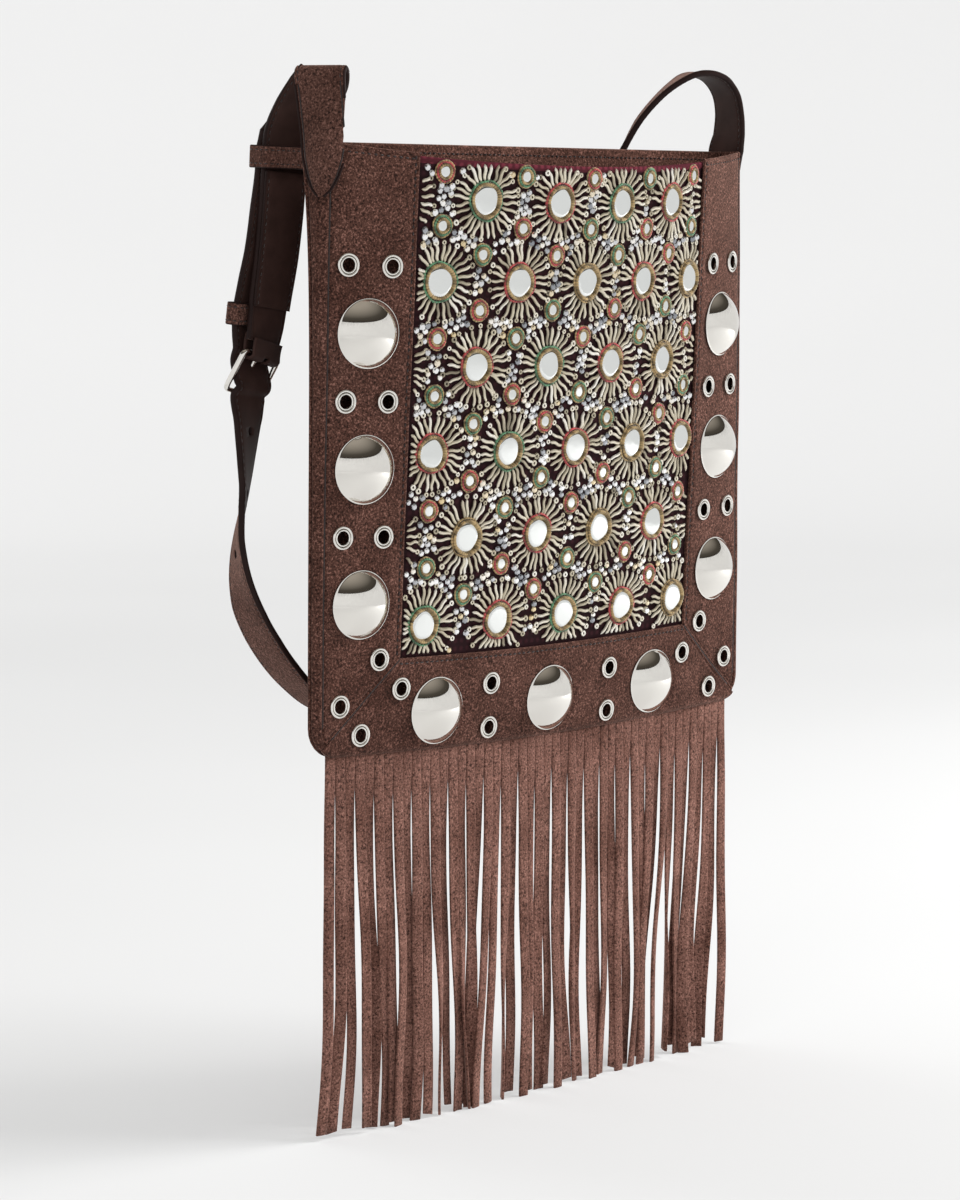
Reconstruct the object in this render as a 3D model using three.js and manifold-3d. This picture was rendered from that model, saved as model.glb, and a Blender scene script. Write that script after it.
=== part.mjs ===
// A fringed suede crossbody bag that hangs by its strap, in millimetres, +Z up.
// The bag's own frame has x along the front, y away from it and z up from the bottom edge, with both
// side edges at y = 0. The group at the end moves it so that the strap's two bends hang on z = 0.
import * as THREE from 'three';
import { mergeVertices } from 'three/addons/utils/BufferGeometryUtils.js';
import Module from 'manifold-3d';

const wasm = await Module();
wasm.setup();

// Body
const bagHalfWidth = 144;
const bagHeight = 271;
const topBow = 28;
const bottomBow = 5;
const topDip = 8;
const bottomSag = 3.5;
const cornerRadius = 13;
const sideDepth = 13;
const backBulge = 3;
const suede = 1.5;
const gap = 0.3;

// Front frame strips and the cloth window between them
const sideStripWidth = 48;
const bottomStripHeight = 43;
const mitreGap = 0.4;
const cloth = 1.2;
const clothLap = 4;
const hemDrop = 1.5;

// Round mirrors sewn to the cloth, in rows that are set half a step sideways from each other
const mirrorRowPitch = 38.6;
const mirrorColumnPitch = 42.4;
const mirrorRows = 6;
const firstMirrorRow = 20.8;
const mirrorRadius = 6.3;
const mirrorRingRadius = 9;
const mirrorRise = 2.4;
const rosetteRadius = 5.2;
const rosetteRise = 1.9;
const rosetteBelow = mirrorRowPitch * 2 / 3;
const windowMargin = 2.5;
// The sewn rows sit to the right of an even layout, most of all in the middle of the window.
const mirrorEdgeShift = 1;
const mirrorMiddleShift = 5.9;

// Dome studs
const domeRadius = 15.5;
const domeRise = 8;
const domeWall = 0.9;
const domeStemRadius = 2.5;
const domeWasherRadius = 4.5;
const sideDomeInset = 24.4;
const sideDomeHeight = 68;
const domePitch = 60;
const endDomeInset = 71;
const bottomDomeHeight = 18;

// Eyelets
const eyeletRadius = 5.35;
const eyeletHole = 3;
const eyeletBarrel = 0.5;
const eyeletRise = 1.3;
const outerEyeletInset = 13.5;
const innerEyeletInset = 35.3;
const bottomEyeletShare = 0.55;
const lowerEyeletHeight = 7.8;
const upperEyeletHeight = 28.3;

// Fringe
const fringeCount = 48;
const fringeLength = 165;
const fringeWidth = 5.3;
const fringeThickness = 1.2;
const fringeInset = 8;
const fringeSideSway = 1.6;
const fringeDepthSway = 2.6;
const fringeLayer = 1.2;
const fringeUneven = 2;
const headerThickness = 1.5;
const headerHeight = 3;

// Strap, keepers and buckle
const strapWidth = 24;
const strapThickness = 3;
const strapBehind = 35;
const tabSide = 15;
const layerThickness = 1.5;
const keeperHeight = 10;
const keeperWall = 1.5;
const keeperRoom = 0.9;
const buckleWire = 2.4;
const buckleLength = 19;
const buckleRoom = 0.8;
const prongRadius = 0.9;
const punchedHole = 2;

// Height of the hooks that hold the strap's bends, and how far behind the side edges they are
const hangHeight = 301;
const hangDepth = 12;

const suedeMaterial = new THREE.MeshStandardMaterial({ color: '#4a2f2b', roughness: 0.95, metalness: 0 });
const fringeMaterial = new THREE.MeshStandardMaterial({ color: '#6b4a42', roughness: 0.95, metalness: 0 });
const clothMaterial = new THREE.MeshStandardMaterial({ color: '#8a7f6c', roughness: 0.6, metalness: 0.2 });
const metalMaterial = new THREE.MeshStandardMaterial({ color: '#d9d8d4', roughness: 0.12, metalness: 1 });

const bag = new THREE.Group();
bag.position.set(0, -hangDepth, -hangHeight);

// Leaves only positions with shared vertices, and turns an inside-out body the right way.
function closedGeometry(geometry) {
  const bare = geometry.clone();
  bare.deleteAttribute('normal');
  bare.deleteAttribute('uv');
  const merged = mergeVertices(bare, 1e-5);
  const points = merged.getAttribute('position');
  const index = merged.getIndex().array;
  const corner = (i) => new THREE.Vector3().fromBufferAttribute(points, index[i]);
  let volume = 0;
  for (let i = 0; i < index.length; i += 3) {
    volume += corner(i).dot(corner(i + 1).cross(corner(i + 2)));
  }
  if (volume < 0) {
    for (let i = 0; i < index.length; i += 3) {
      [index[i], index[i + 1]] = [index[i + 1], index[i]];
    }
  }
  return merged;
}

function solid(geometry) {
  const closed = closedGeometry(geometry);
  return new wasm.Manifold(new wasm.Mesh({
    numProp: 3,
    vertProperties: new Float32Array(closed.getAttribute('position').array),
    triVerts: new Uint32Array(closed.getIndex().array),
  }));
}

function geometryOf(body) {
  const mesh = body.getMesh();
  const geometry = new THREE.BufferGeometry();
  geometry.setAttribute('position', new THREE.BufferAttribute(new Float32Array(mesh.vertProperties), 3));
  geometry.setIndex(new THREE.BufferAttribute(new Uint32Array(mesh.triVerts), 1));
  return geometry;
}

function addPiece(name, geometry, material, matrix = new THREE.Matrix4()) {
  const mesh = new THREE.Mesh(closedGeometry(geometry), material);
  mesh.name = name;
  mesh.applyMatrix4(matrix);
  bag.add(mesh);
}

const mix = THREE.MathUtils.lerp;
const vector = (x, y, z) => new THREE.Vector3(x, y, z);

// A box whose corners are moved: across, deep and up run from 0 to 1 along its three sides.
function shapedBox(columns, rows, place) {
  const geometry = new THREE.BoxGeometry(1, 1, 1, columns, 1, rows);
  const points = geometry.getAttribute('position');
  for (let i = 0; i < points.count; i += 1) {
    const moved = place(points.getX(i) + 0.5, points.getY(i) + 0.5, points.getZ(i) + 0.5);
    points.setXYZ(i, moved.x, moved.y, moved.z);
  }
  return geometry;
}

// A wall of even thickness on both sides of a middle surface that is a function of across and up.
function wall(columns, rows, thickness, middle) {
  const step = 1e-3;
  return shapedBox(columns, rows, (across, deep, up) => {
    const sideways = middle(across + step, up).sub(middle(across - step, up));
    const upward = middle(across, up + step).sub(middle(across, up - step));
    const outward = upward.cross(sideways).normalize();
    return middle(across, up).addScaledVector(outward, thickness * (deep - 0.5));
  });
}

// The value of a list of row heights or widths at a share from 0 to 1 of the way along it.
function along(list, share) {
  const place = THREE.MathUtils.clamp(share, 0, 1) * (list.length - 1);
  const first = Math.min(Math.floor(place), list.length - 2);
  return mix(list[first], list[first + 1], share * (list.length - 1) - first);
}

// Bowed front: an arc in every level, bowed most at the top, whose ends stay at y = 0.
const bowCurvature = (z) => 2 * mix(bottomBow, topBow, z / bagHeight) / bagHalfWidth ** 2;
const halfChord = (z) => Math.sin(bowCurvature(z) * bagHalfWidth) / bowCurvature(z);

function frontAt(u, z, depth) {
  const curvature = bowCurvature(z);
  const angle = curvature * u;
  const level = z / bagHeight;
  const middleness = 1 - (u / bagHalfWidth) ** 2;
  const rise = bottomSag * (1 - level) + topDip * Math.max(level, 0) ** 6;
  return vector(
    Math.sin(angle) / curvature - depth * Math.sin(angle),
    (Math.cos(curvature * bagHalfWidth) - Math.cos(angle)) / curvature + depth * Math.cos(angle),
    z - middleness * rise,
  );
}

// Frame on the front at u, z: its Y axis points out of the leather, as a lathe's axis does.
function frontMatrix(u, z) {
  const sideways = frontAt(u + 1, z, 0).sub(frontAt(u - 1, z, 0));
  const upward = frontAt(u, z + 1, 0).sub(frontAt(u, z - 1, 0));
  const outward = sideways.cross(upward).normalize();
  const turn = new THREE.Quaternion().setFromUnitVectors(vector(0, 1, 0), outward);
  return new THREE.Matrix4().compose(frontAt(u, z, 0), turn, vector(1, 1, 1));
}

// Back: its side edges are as far behind the front's as the side walls are deep.
const seamDepth = suede + gap + headerThickness + gap;

function backEdgeDepth(z) {
  const level = z / bagHeight;
  return seamDepth + (sideDepth - seamDepth) * (0.2 * level + 0.8 * level ** 7);
}

function backAt(share, z, depth) {
  const level = z / bagHeight;
  const middleness = 1 - share ** 2;
  const bulge = backBulge * Math.sin(Math.PI * level) - bottomBow * (1 - level) ** 3;
  return vector(
    share * halfChord(z),
    backEdgeDepth(z) + bulge * middleness + depth,
    z - middleness * bottomSag * (1 - level),
  );
}

// Round bottom corner and mitre, as the distance from the bag's middle at a height.
function edgeDistance(z) {
  const below = THREE.MathUtils.clamp(cornerRadius - z, 0, cornerRadius);
  return bagHalfWidth - cornerRadius + Math.sqrt(cornerRadius ** 2 - below ** 2);
}

function mitreDistance(z) {
  const rise = Math.min(z / bottomStripHeight, 1);
  return bagHalfWidth - sideStripWidth * rise;
}

// Places of the dome studs and eyelets on the front
const bottomDomePitch = bagHalfWidth - endDomeInset;
const bottomEyeletOffset = bottomEyeletShare * bottomDomePitch;
const domePlaces = [];
const eyeletPlaces = [];
const cornerEyelets = [
  { inset: innerEyeletInset, height: 43.2 / bottomStripHeight },
  { inset: outerEyeletInset, height: 23 / bottomStripHeight },
  { inset: 48.5, height: 29.4 / bottomStripHeight },
  { inset: 25.6, height: 9.6 / bottomStripHeight },
];
for (const side of [-1, 1]) {
  for (let level = 0; level < 3; level += 1) {
    const domeHeight = sideDomeHeight + level * domePitch;
    const eyeletHeight = domeHeight + domePitch / 2;
    domePlaces.push({ u: side * (bagHalfWidth - sideDomeInset), z: domeHeight });
    eyeletPlaces.push({ u: side * (bagHalfWidth - outerEyeletInset), z: eyeletHeight });
    eyeletPlaces.push({ u: side * (bagHalfWidth - innerEyeletInset), z: eyeletHeight });
  }
  for (const { inset, height } of cornerEyelets) {
    eyeletPlaces.push({ u: side * (bagHalfWidth - inset), z: height * bottomStripHeight });
  }
  eyeletPlaces.push({ u: side * bottomEyeletOffset, z: lowerEyeletHeight });
  eyeletPlaces.push({ u: side * bottomEyeletOffset, z: upperEyeletHeight });
}
for (const step of [-1, 0, 1]) {
  domePlaces.push({ u: step * bottomDomePitch, z: bottomDomeHeight });
}

// A five-sided drill whose flats lie at its radius
const drillSides = 5;

function drillBit(radius, length) {
  const cornerDistance = radius / Math.cos(Math.PI / drillSides);
  return new THREE.CylinderGeometry(cornerDistance, cornerDistance, length, drillSides);
}

// Cuts the holes of the studs and eyelets that lie between two widths on the front.
function withHoles(geometry) {
  let body = solid(geometry);
  const holes = [
    ...domePlaces.map((place) => ({ ...place, radius: domeStemRadius + gap })),
    ...eyeletPlaces.map((place) => ({ ...place, radius: eyeletHole + eyeletBarrel + gap })),
  ];
  for (const { u, z, radius } of holes) {
    const drill = drillBit(radius, 6 * suede).applyMatrix4(frontMatrix(u, z));
    body = body.subtract(solid(drill));
  }
  return geometryOf(body);
}

// Side strips of the front, from the tip of the mitre to the top edge
const mitreTip = 4;
const stripRows = [mitreTip, 7, cornerRadius, bottomStripHeight, 100, 160, 215, 250, bagHeight];
for (const [name, side] of [['front_strip_left', -1], ['front_strip_right', 1]]) {
  const strip = wall(2, stripRows.length - 1, suede, (across, up) => {
    const z = along(stripRows, up);
    const inner = mitreDistance(z) + mitreGap / 2;
    const share = side < 0 ? 1 - across : across;
    return frontAt(side * mix(inner, edgeDistance(z), share), z, suede / 2);
  });
  addPiece(name, withHoles(strip), suedeMaterial);
}

// Bottom strip of the front, between the mitres
const bottomRows = [0, 1.5, mitreTip, cornerRadius, bottomStripHeight];
const bottomStrip = wall(6, bottomRows.length - 1, suede, (across, up) => {
  const z = along(bottomRows, up);
  const reach = Math.min(mitreDistance(z) - mitreGap / 2, edgeDistance(z));
  return frontAt(mix(-reach, reach, across), z, suede / 2);
});
addPiece('front_strip_bottom', withHoles(bottomStrip), suedeMaterial);

// Cloth window, which laps behind the strips, with its mirrors and rosettes fused to it
const windowHalf = bagHalfWidth - sideStripWidth;
const clothDepth = suede + gap + cloth / 2;
const clothBody = wall(6, 4, cloth, (across, up) => frontAt(
  mix(-1, 1, across) * (windowHalf + clothLap),
  mix(bottomStripHeight - clothLap, bagHeight - hemDrop, up),
  clothDepth,
));

// Low round boss on the cloth: a flat middle, then a rim that falls to the cloth.
function boss(flatRadius, footRadius, rise, sides) {
  const sink = cloth / 2;
  const profile = [
    new THREE.Vector2(0, -sink),
    new THREE.Vector2(footRadius, -sink),
    new THREE.Vector2(flatRadius, rise),
    new THREE.Vector2(0, rise),
  ];
  return new THREE.LatheGeometry(profile, sides);
}

let panel = solid(clothBody);
for (let row = -1; row <= mirrorRows; row += 1) {
  const shift = row % 2 === 0 ? mirrorColumnPitch / 2 : 0;
  const rowZ = bagHeight - firstMirrorRow - row * mirrorRowPitch;
  for (let column = -3; column <= 3; column += 1) {
    const even = column * mirrorColumnPitch + shift;
    const middleness = 1 - (even / windowHalf) ** 2;
    const u = even + mix(mirrorEdgeShift, mirrorMiddleShift, middleness);
    const bosses = [{ z: rowZ, foot: mirrorRingRadius, flat: mirrorRadius, rise: mirrorRise, sides: 7 }];
    for (const offset of [-rosetteBelow, rosetteBelow]) {
      bosses.push({
        z: rowZ + offset, foot: rosetteRadius, flat: rosetteRadius / 2, rise: rosetteRise, sides: 4,
      });
    }
    for (const { z, foot, flat, rise, sides } of bosses) {
      const inside = Math.abs(u) + foot < windowHalf
        && z - foot > bottomStripHeight && z + foot < bagHeight - windowMargin;
      if (inside) {
        const seat = frontMatrix(u, z).multiply(new THREE.Matrix4().makeTranslation(0, gap - clothDepth, 0));
        panel = panel.add(solid(boss(flat, foot, rise, sides).applyMatrix4(seat)));
      }
    }
  }
}
addPiece('embroidered_panel', geometryOf(panel), clothMaterial);

// Back panel and side walls
const backRows = [0, 1.5, mitreTip, cornerRadius, 70, 140, 200, 230, 252, bagHeight];
const backPanel = wall(6, backRows.length - 1, suede, (across, up) => {
  const z = along(backRows, up);
  return backAt(mix(-1, 1, across) * edgeDistance(z) / bagHalfWidth, z, suede / 2);
});
addPiece('back_panel', backPanel, suedeMaterial);

const gussetRows = [cornerRadius, 60, 110, 160, 200, 225, 245, 258, bagHeight];
for (const [name, side] of [['gusset_left', -1], ['gusset_right', 1]]) {
  const gusset = shapedBox(1, gussetRows.length - 1, (across, deep, up) => {
    const z = along(gussetRows, up);
    const inward = side < 0 ? across : 1 - across;
    const y = mix(suede + gap, backEdgeDepth(z) - gap, deep);
    return vector(side * (halfChord(z) - inward * suede), y, z);
  });
  addPiece(name, gusset, suedeMaterial);
}

// Fringe: strips fused to a header that lies in the bottom seam
const fringeHalf = bagHalfWidth - fringeInset;
const fringeDepth = suede + gap + headerThickness / 2;
const header = wall(8, 1, headerThickness, (across, up) => frontAt(
  mix(-fringeHalf, fringeHalf, across),
  mix(-1, headerHeight, up),
  fringeDepth,
));

function fringeStrip(number) {
  const u = mix(-fringeHalf + fringeWidth / 2, fringeHalf - fringeWidth / 2, number / (fringeCount - 1));
  const sideSway = fringeSideSway * Math.sin(number * 2.4);
  const depthSway = fringeDepthSway * Math.sin(number * 1.7) + (number % 2 === 0 ? fringeLayer : -fringeLayer);
  const length = fringeLength + fringeUneven * Math.sin(number * 3.1);
  return wall(1, 1, fringeThickness, (across, up) => {
    const hang = 1 - up;
    const root = frontAt(u + (across - 0.5) * fringeWidth, 0, fringeDepth);
    return root.add(vector(sideSway * hang, depthSway * hang, mix(-length, headerHeight / 3, up)));
  });
}

let fringe = solid(header);
for (let number = 0; number < fringeCount; number += 1) {
  fringe = fringe.add(solid(fringeStrip(number)));
}
addPiece('fringe', geometryOf(fringe), fringeMaterial);

// Strap. A route has a row for each place that the strap goes through: the middle of the band as
// shares of the half width, of strapBehind and of the bag's height, the direction of its width as
// an angle from +x, how much it is folded round the bag's side and how wide it is.
const row = (x, y, z, turn, fold = 0, width = 1) => ({ x, y, z, turn, fold, width });

const shortRoute = [
  row(-0.955, 0.137, 0.911, -66, 1, 0.04),
  row(-0.955, 0.137, 0.923, -66, 1, 0.36),
  row(-0.955, 0.137, 0.945, -66, 1, 0.66),
  row(-0.955, 0.137, 0.974, -66, 1, 0.9),
  row(-0.955, 0.137, 1.007, -66, 1),
  row(-0.955, 0.137, 1.04, -66, 0.6),
  row(-0.955, 0.137, 1.075, -66, 0.25),
  row(-0.955, 0.137, 1.1, -66),
  row(-0.951, 0.145, 1.111, -66),
  row(-0.94, 0.165, 1.1155, -66),
  row(-0.929, 0.187, 1.111, -66),
  row(-0.925, 0.21, 1.1, -65),
  row(-0.928, 0.39, 1.077, -54),
  row(-0.931, 0.6, 1.05, -36),
  row(-0.934, 0.78, 1.02, -17),
  row(-0.936, 0.865, 0.99, -5),
  row(-0.939, 0.9, 0.945, 0),
  row(-0.946, 0.914, 0.889, 0),
  row(-0.963, 0.923, 0.815, 2),
  row(-0.984, 0.937, 0.749, 6),
  row(-0.996, 0.951, 0.7, 10),
  row(-1.004, 0.963, 0.674, 14),
];

const longRoute = [
  row(0.989, 0.343, 0.911, 90, 1, 0.04),
  row(0.989, 0.343, 0.923, 90, 1, 0.36),
  row(0.989, 0.343, 0.945, 90, 1, 0.66),
  row(0.991, 0.343, 0.968, 88, 0.8, 0.9),
  row(0.996, 0.343, 1.0, 84, 0.3),
  row(1.0, 0.337, 1.03, 77),
  row(1.001, 0.337, 1.07, 72),
  row(0.983, 0.343, 1.103, 70),
  row(0.938, 0.351, 1.126, 66),
  row(0.878, 0.357, 1.136, 62),
  row(0.813, 0.386, 1.134, 56),
  row(0.753, 0.443, 1.12, 52),
  row(0.698, 0.543, 1.096, 48),
  row(0.635, 0.671, 1.055, 46),
  row(0.594, 0.771, 1.011, 43),
  row(0.486, 0.857, 0.904, 34),
  row(0.347, 0.929, 0.756, 14),
  row(0.208, 0.971, 0.59, -14),
  row(0.056, 0.986, 0.406, -46),
  row(-0.125, 0.986, 0.229, -75),
  row(-0.333, 1, 0.096, -88),
  row(-0.556, 1, 0.039, -90),
  row(-0.722, 1, 0.057, -90),
  row(-0.847, 1, 0.101, -90),
  row(-0.926, 1, 0.141, -90),
  row(-0.995, 1, 0.186, -92),
  row(-1.052, 1, 0.236, -98),
  row(-1.087, 1, 0.295, -112),
  row(-1.094, 1, 0.354, -125),
  row(-1.08, 1, 0.406, -134),
  row(-1.069, 1.006, 0.443, -138),
  row(-1.061, 1.014, 0.494, -147),
  row(-1.053, 1.029, 0.546, -157),
  row(-1.042, 1.071, 0.586, -168),
  row(-1.032, 1.025, 0.602, -169),
  row(-1.028, 1.083, 0.624, -169),
  row(-1.023, 1.139, 0.644, -169),
  row(-1.015, 1.14, 0.665, -169),
  row(-1.016, 1.15, 0.69, -169),
  row(-1.015, 1.14, 0.723, -170),
  row(-1.003, 1.086, 0.768, -173),
  row(-0.979, 1.04, 0.823, -177),
  row(-0.958, 1.017, 0.889, -180),
  row(-0.942, 1.006, 0.945, -180),
  row(-0.939, 0.994, 0.989, -180),
  row(-0.943, 0.971, 1.022, -180, 0, 0.8),
  row(-0.95, 0.943, 1.048, -180, 0, 0.08),
];

// Middle, direction and width direction of the strap at a share from 0 to 1 of the way along a route
function strapRoute(rows) {
  const points = rows.map(({ x, y, z }) => vector(x * bagHalfWidth, y * strapBehind, z * bagHeight));
  const path = new THREE.CatmullRomCurve3(points, false, 'centripetal');
  const value = (name, share) => along(rows.map((each) => each[name]), share);
  return (share) => {
    const held = THREE.MathUtils.clamp(share, 0, 1);
    const forward = path.getTangent(held);
    const point = path.getPoint(held).addScaledVector(forward, share - held);
    const turn = THREE.MathUtils.degToRad(value('turn', held));
    const sideways = vector(Math.cos(turn), Math.sin(turn), 0);
    sideways.addScaledVector(forward, -sideways.dot(forward)).normalize();
    return {
      point, forward, sideways, fold: value('fold', held), width: value('width', held),
    };
  };
}

const tabOffset = gap + strapThickness / 2;

// Left tab's section round the front corner, and right tab's round the back corner, at a height
function leftTab(across, z) {
  const edge = -halfChord(z);
  const angle = bowCurvature(z) * bagHalfWidth;
  const run = across * strapWidth - tabSide;
  const corner = vector(edge - tabOffset, -tabOffset, z);
  if (run < 0) {
    return corner.add(vector(0, -run, 0));
  }
  return corner.add(vector(run * Math.cos(angle), -run * Math.sin(angle), 0));
}

function rightTab(across, z) {
  const side = halfChord(z) + tabOffset;
  const back = backEdgeDepth(z) + suede + tabOffset;
  const run = across * strapWidth - tabSide;
  if (run < 0) {
    return vector(side, back + run, z);
  }
  return vector(side - run, back, z);
}

// The middle surface of a strap: flat across its width, or folded round the bag as a tab
function strapSurface(route, tab) {
  return (across, up) => {
    const { point, sideways, fold, width } = route(up);
    const centre = mix(0.5, tabSide / strapWidth, fold);
    const reach = THREE.MathUtils.clamp(centre + (across - 0.5) * width, -0.02, 1.02);
    const flat = point.clone().addScaledVector(sideways, (reach - 0.5) * strapWidth);
    return fold > 0 ? flat.lerp(tab(reach, point.z), fold) : flat;
  };
}

const shortPath = strapRoute(shortRoute);
const longPath = strapRoute(longRoute);

// Share of the way along a route at which the strap last passes a height on its way
function shareAt(path, z, from, to) {
  let low = from;
  let high = to;
  const rising = path(to).point.z > path(from).point.z;
  for (let step = 0; step < 40; step += 1) {
    const middle = (low + high) / 2;
    if ((path(middle).point.z < z) === rising) {
      low = middle;
    } else {
      high = middle;
    }
  }
  return low;
}

// Frame on the strap: X along its width, Y out of the face that looks inward, Z along it
function strapMatrix(path, share) {
  const { point, forward, sideways } = path(share);
  const outward = forward.clone().cross(sideways);
  return new THREE.Matrix4().makeBasis(sideways, outward, forward).setPosition(point);
}

// Buckle: hinge bar in the short strap's lower end, and a frame that leans back from it
const hinge = vector(-1.007 * bagHalfWidth, 0.971 * strapBehind, 0.653 * bagHeight);
const buckleDown = vector(-0.3, 0.35, -0.885).normalize();
const buckleAcross = vector(0.94, 0.27, -0.2);
buckleAcross.addScaledVector(buckleDown, -buckleAcross.dot(buckleDown)).normalize();
const buckleOut = buckleDown.clone().cross(buckleAcross).normalize();
const buckleMatrix = new THREE.Matrix4().makeBasis(buckleAcross, buckleDown, buckleOut.clone().negate())
  .setPosition(hinge);

function roundedRectangle(width, low, high, radius) {
  const shape = new THREE.Shape();
  shape.moveTo(-width / 2 + radius, low);
  shape.lineTo(width / 2 - radius, low);
  shape.absarc(width / 2 - radius, low + radius, radius, -Math.PI / 2, 0, false);
  shape.lineTo(width / 2, high - radius);
  shape.absarc(width / 2 - radius, high - radius, radius, 0, Math.PI / 2, false);
  shape.lineTo(-width / 2 + radius, high);
  shape.absarc(-width / 2 + radius, high - radius, radius, Math.PI / 2, Math.PI, false);
  shape.lineTo(-width / 2, low + radius);
  shape.absarc(-width / 2 + radius, low + radius, radius, Math.PI, 1.5 * Math.PI, false);
  return shape;
}

const wireHalf = buckleWire / 2;
const buckleInner = strapWidth + 2 * buckleRoom;
const frameOutline = roundedRectangle(
  buckleInner + 2 * buckleWire, -wireHalf, buckleLength + wireHalf, 2 * wireHalf,
);
frameOutline.holes.push(roundedRectangle(buckleInner, wireHalf, buckleLength - wireHalf, wireHalf));
const frame = new THREE.ExtrudeGeometry(frameOutline, {
  depth: buckleWire, bevelEnabled: false, curveSegments: 2,
}).translate(0, 0, -wireHalf);
addPiece('buckle_frame', frame, metalMaterial, buckleMatrix);

// Short strap: the band, the layer that is turned back from the buckle, and the loop round the bar
const bandEnd = shareAt(shortPath, hinge.z + wireHalf + gap + 3 * layerThickness, 0.7, 1);
const shortBand = wall(2, 32, strapThickness, (across, up) => (
  strapSurface(shortPath, leftTab)(across, up * bandEnd)
));
const layerTop = shareAt(shortPath, 0.951 * bagHeight, 0.6, bandEnd);
const layerLow = shareAt(shortPath, 0.73 * bagHeight, 0.6, bandEnd);
const turnedBack = wall(1, 8, layerThickness + keeperWall / 8, (across, up) => {
  const { point, forward, sideways } = shortPath(mix(layerTop, layerLow, up));
  const inward = forward.clone().cross(sideways);
  return point.addScaledVector(sideways, (across - 0.5) * strapWidth)
    .addScaledVector(inward, strapThickness / 2 + layerThickness / 2);
});

// The loop runs down in front of the hinge bar, round it and up behind it, open for the prong.
const loopInner = wireHalf * Math.SQRT2 + gap;
const loopRise = shortPath(bandEnd).point.z - hinge.z + layerThickness;

function loopMiddle(across, up) {
  const radius = loopInner + layerThickness / 2;
  const turn = Math.PI * THREE.MathUtils.clamp((up - 0.25) / 0.5, 0, 1);
  const straight = Math.max(0.25 - up, up - 0.75, 0) / 0.25;
  const start = shortPath(bandEnd);
  const climb = vector(0, 0, 1).lerp(start.forward.clone().negate(), straight).normalize();
  return hinge.clone()
    .addScaledVector(buckleAcross, (across - 0.5) * (strapWidth - 2 * buckleRoom))
    .addScaledVector(buckleOut, radius * Math.cos(turn))
    .addScaledVector(buckleDown, radius * Math.sin(turn))
    .addScaledVector(climb, straight * loopRise);
}

const prongSlot = new THREE.BoxGeometry(4 * prongRadius + 2 * gap, 3 * buckleWire, 5 * buckleWire)
  .applyMatrix4(buckleMatrix);
let shortStrap = solid(shortBand).add(solid(turnedBack));
shortStrap = shortStrap.add(solid(wall(1, 10, layerThickness, loopMiddle)).subtract(solid(prongSlot)));
addPiece('strap_short', geometryOf(shortStrap), suedeMaterial);

// Prong: an eye round the hinge bar and a needle that rests on the far bar
const eyeInner = wireHalf * Math.SQRT2 + gap / 2;
const prongRing = new THREE.LatheGeometry([
  new THREE.Vector2(eyeInner, -2 * prongRadius),
  new THREE.Vector2(eyeInner + prongRadius, -2 * prongRadius),
  new THREE.Vector2(eyeInner + prongRadius, 2 * prongRadius),
  new THREE.Vector2(eyeInner, 2 * prongRadius),
  new THREE.Vector2(eyeInner, -2 * prongRadius),
], 10).rotateZ(Math.PI / 2);
const farSide = wireHalf + gap + prongRadius;
const needlePath = new THREE.LineCurve3(
  vector(0, eyeInner, farSide / 2),
  vector(0, buckleLength + 2 * wireHalf, farSide),
);
const needleSection = new THREE.Shape().absarc(0, 0, prongRadius, 0, 2 * Math.PI, false);
const needle = new THREE.ExtrudeGeometry(needleSection, { steps: 2, extrudePath: needlePath, curveSegments: 5 });
addPiece('buckle_prong', geometryOf(solid(prongRing).add(solid(needle))), metalMaterial, buckleMatrix);

// Long strap, with the hole that the prong goes through and the empty holes below it
const longBody = wall(2, 66, strapThickness, strapSurface(longPath, rightTab));
const prongHole = new THREE.BoxGeometry(2 * punchedHole, 4 * punchedHole, 5 * punchedHole)
  .translate(0, 0.45 * buckleLength, farSide / 2).applyMatrix4(buckleMatrix);
let longStrap = solid(longBody).subtract(solid(prongHole));
const emptyHoles = [0.53, 0.43, 0.33];
for (const height of emptyHoles) {
  const share = shareAt(longPath, height * bagHeight, 0.55, 0.82);
  const punch = new THREE.CylinderGeometry(punchedHole, punchedHole, 3 * strapThickness, 8)
    .applyMatrix4(strapMatrix(longPath, share));
  longStrap = longStrap.subtract(solid(punch));
}
addPiece('strap_long', geometryOf(longStrap), suedeMaterial);

// Keepers: flat loops round the strap, the upper one round both of its layers
function keeper(name, path, z, from, to, nearSide, farRoom) {
  const matrix = strapMatrix(path, shareAt(path, z, from, to));
  const width = strapWidth + 2 * keeperRoom;
  const low = -nearSide - keeperRoom;
  const high = farRoom + keeperRoom;
  const outline = roundedRectangle(
    width + 2 * keeperWall, low - keeperWall, high + keeperWall, 2 * keeperWall,
  );
  outline.holes.push(roundedRectangle(width, low, high, keeperWall));
  const loop = new THREE.ExtrudeGeometry(outline, {
    depth: keeperHeight, bevelEnabled: false, curveSegments: 1,
  }).translate(0, 0, -keeperHeight / 2);
  addPiece(name, loop, suedeMaterial, matrix);
}

keeper('keeper_top', longPath, 0.975 * bagHeight, 0.9, 0.96, strapThickness / 2, 2.6 * strapThickness);
keeper('keeper_buckle', longPath, 0.72 * bagHeight, 0.8, 0.93, strapThickness / 2, strapThickness / 2);

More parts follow.
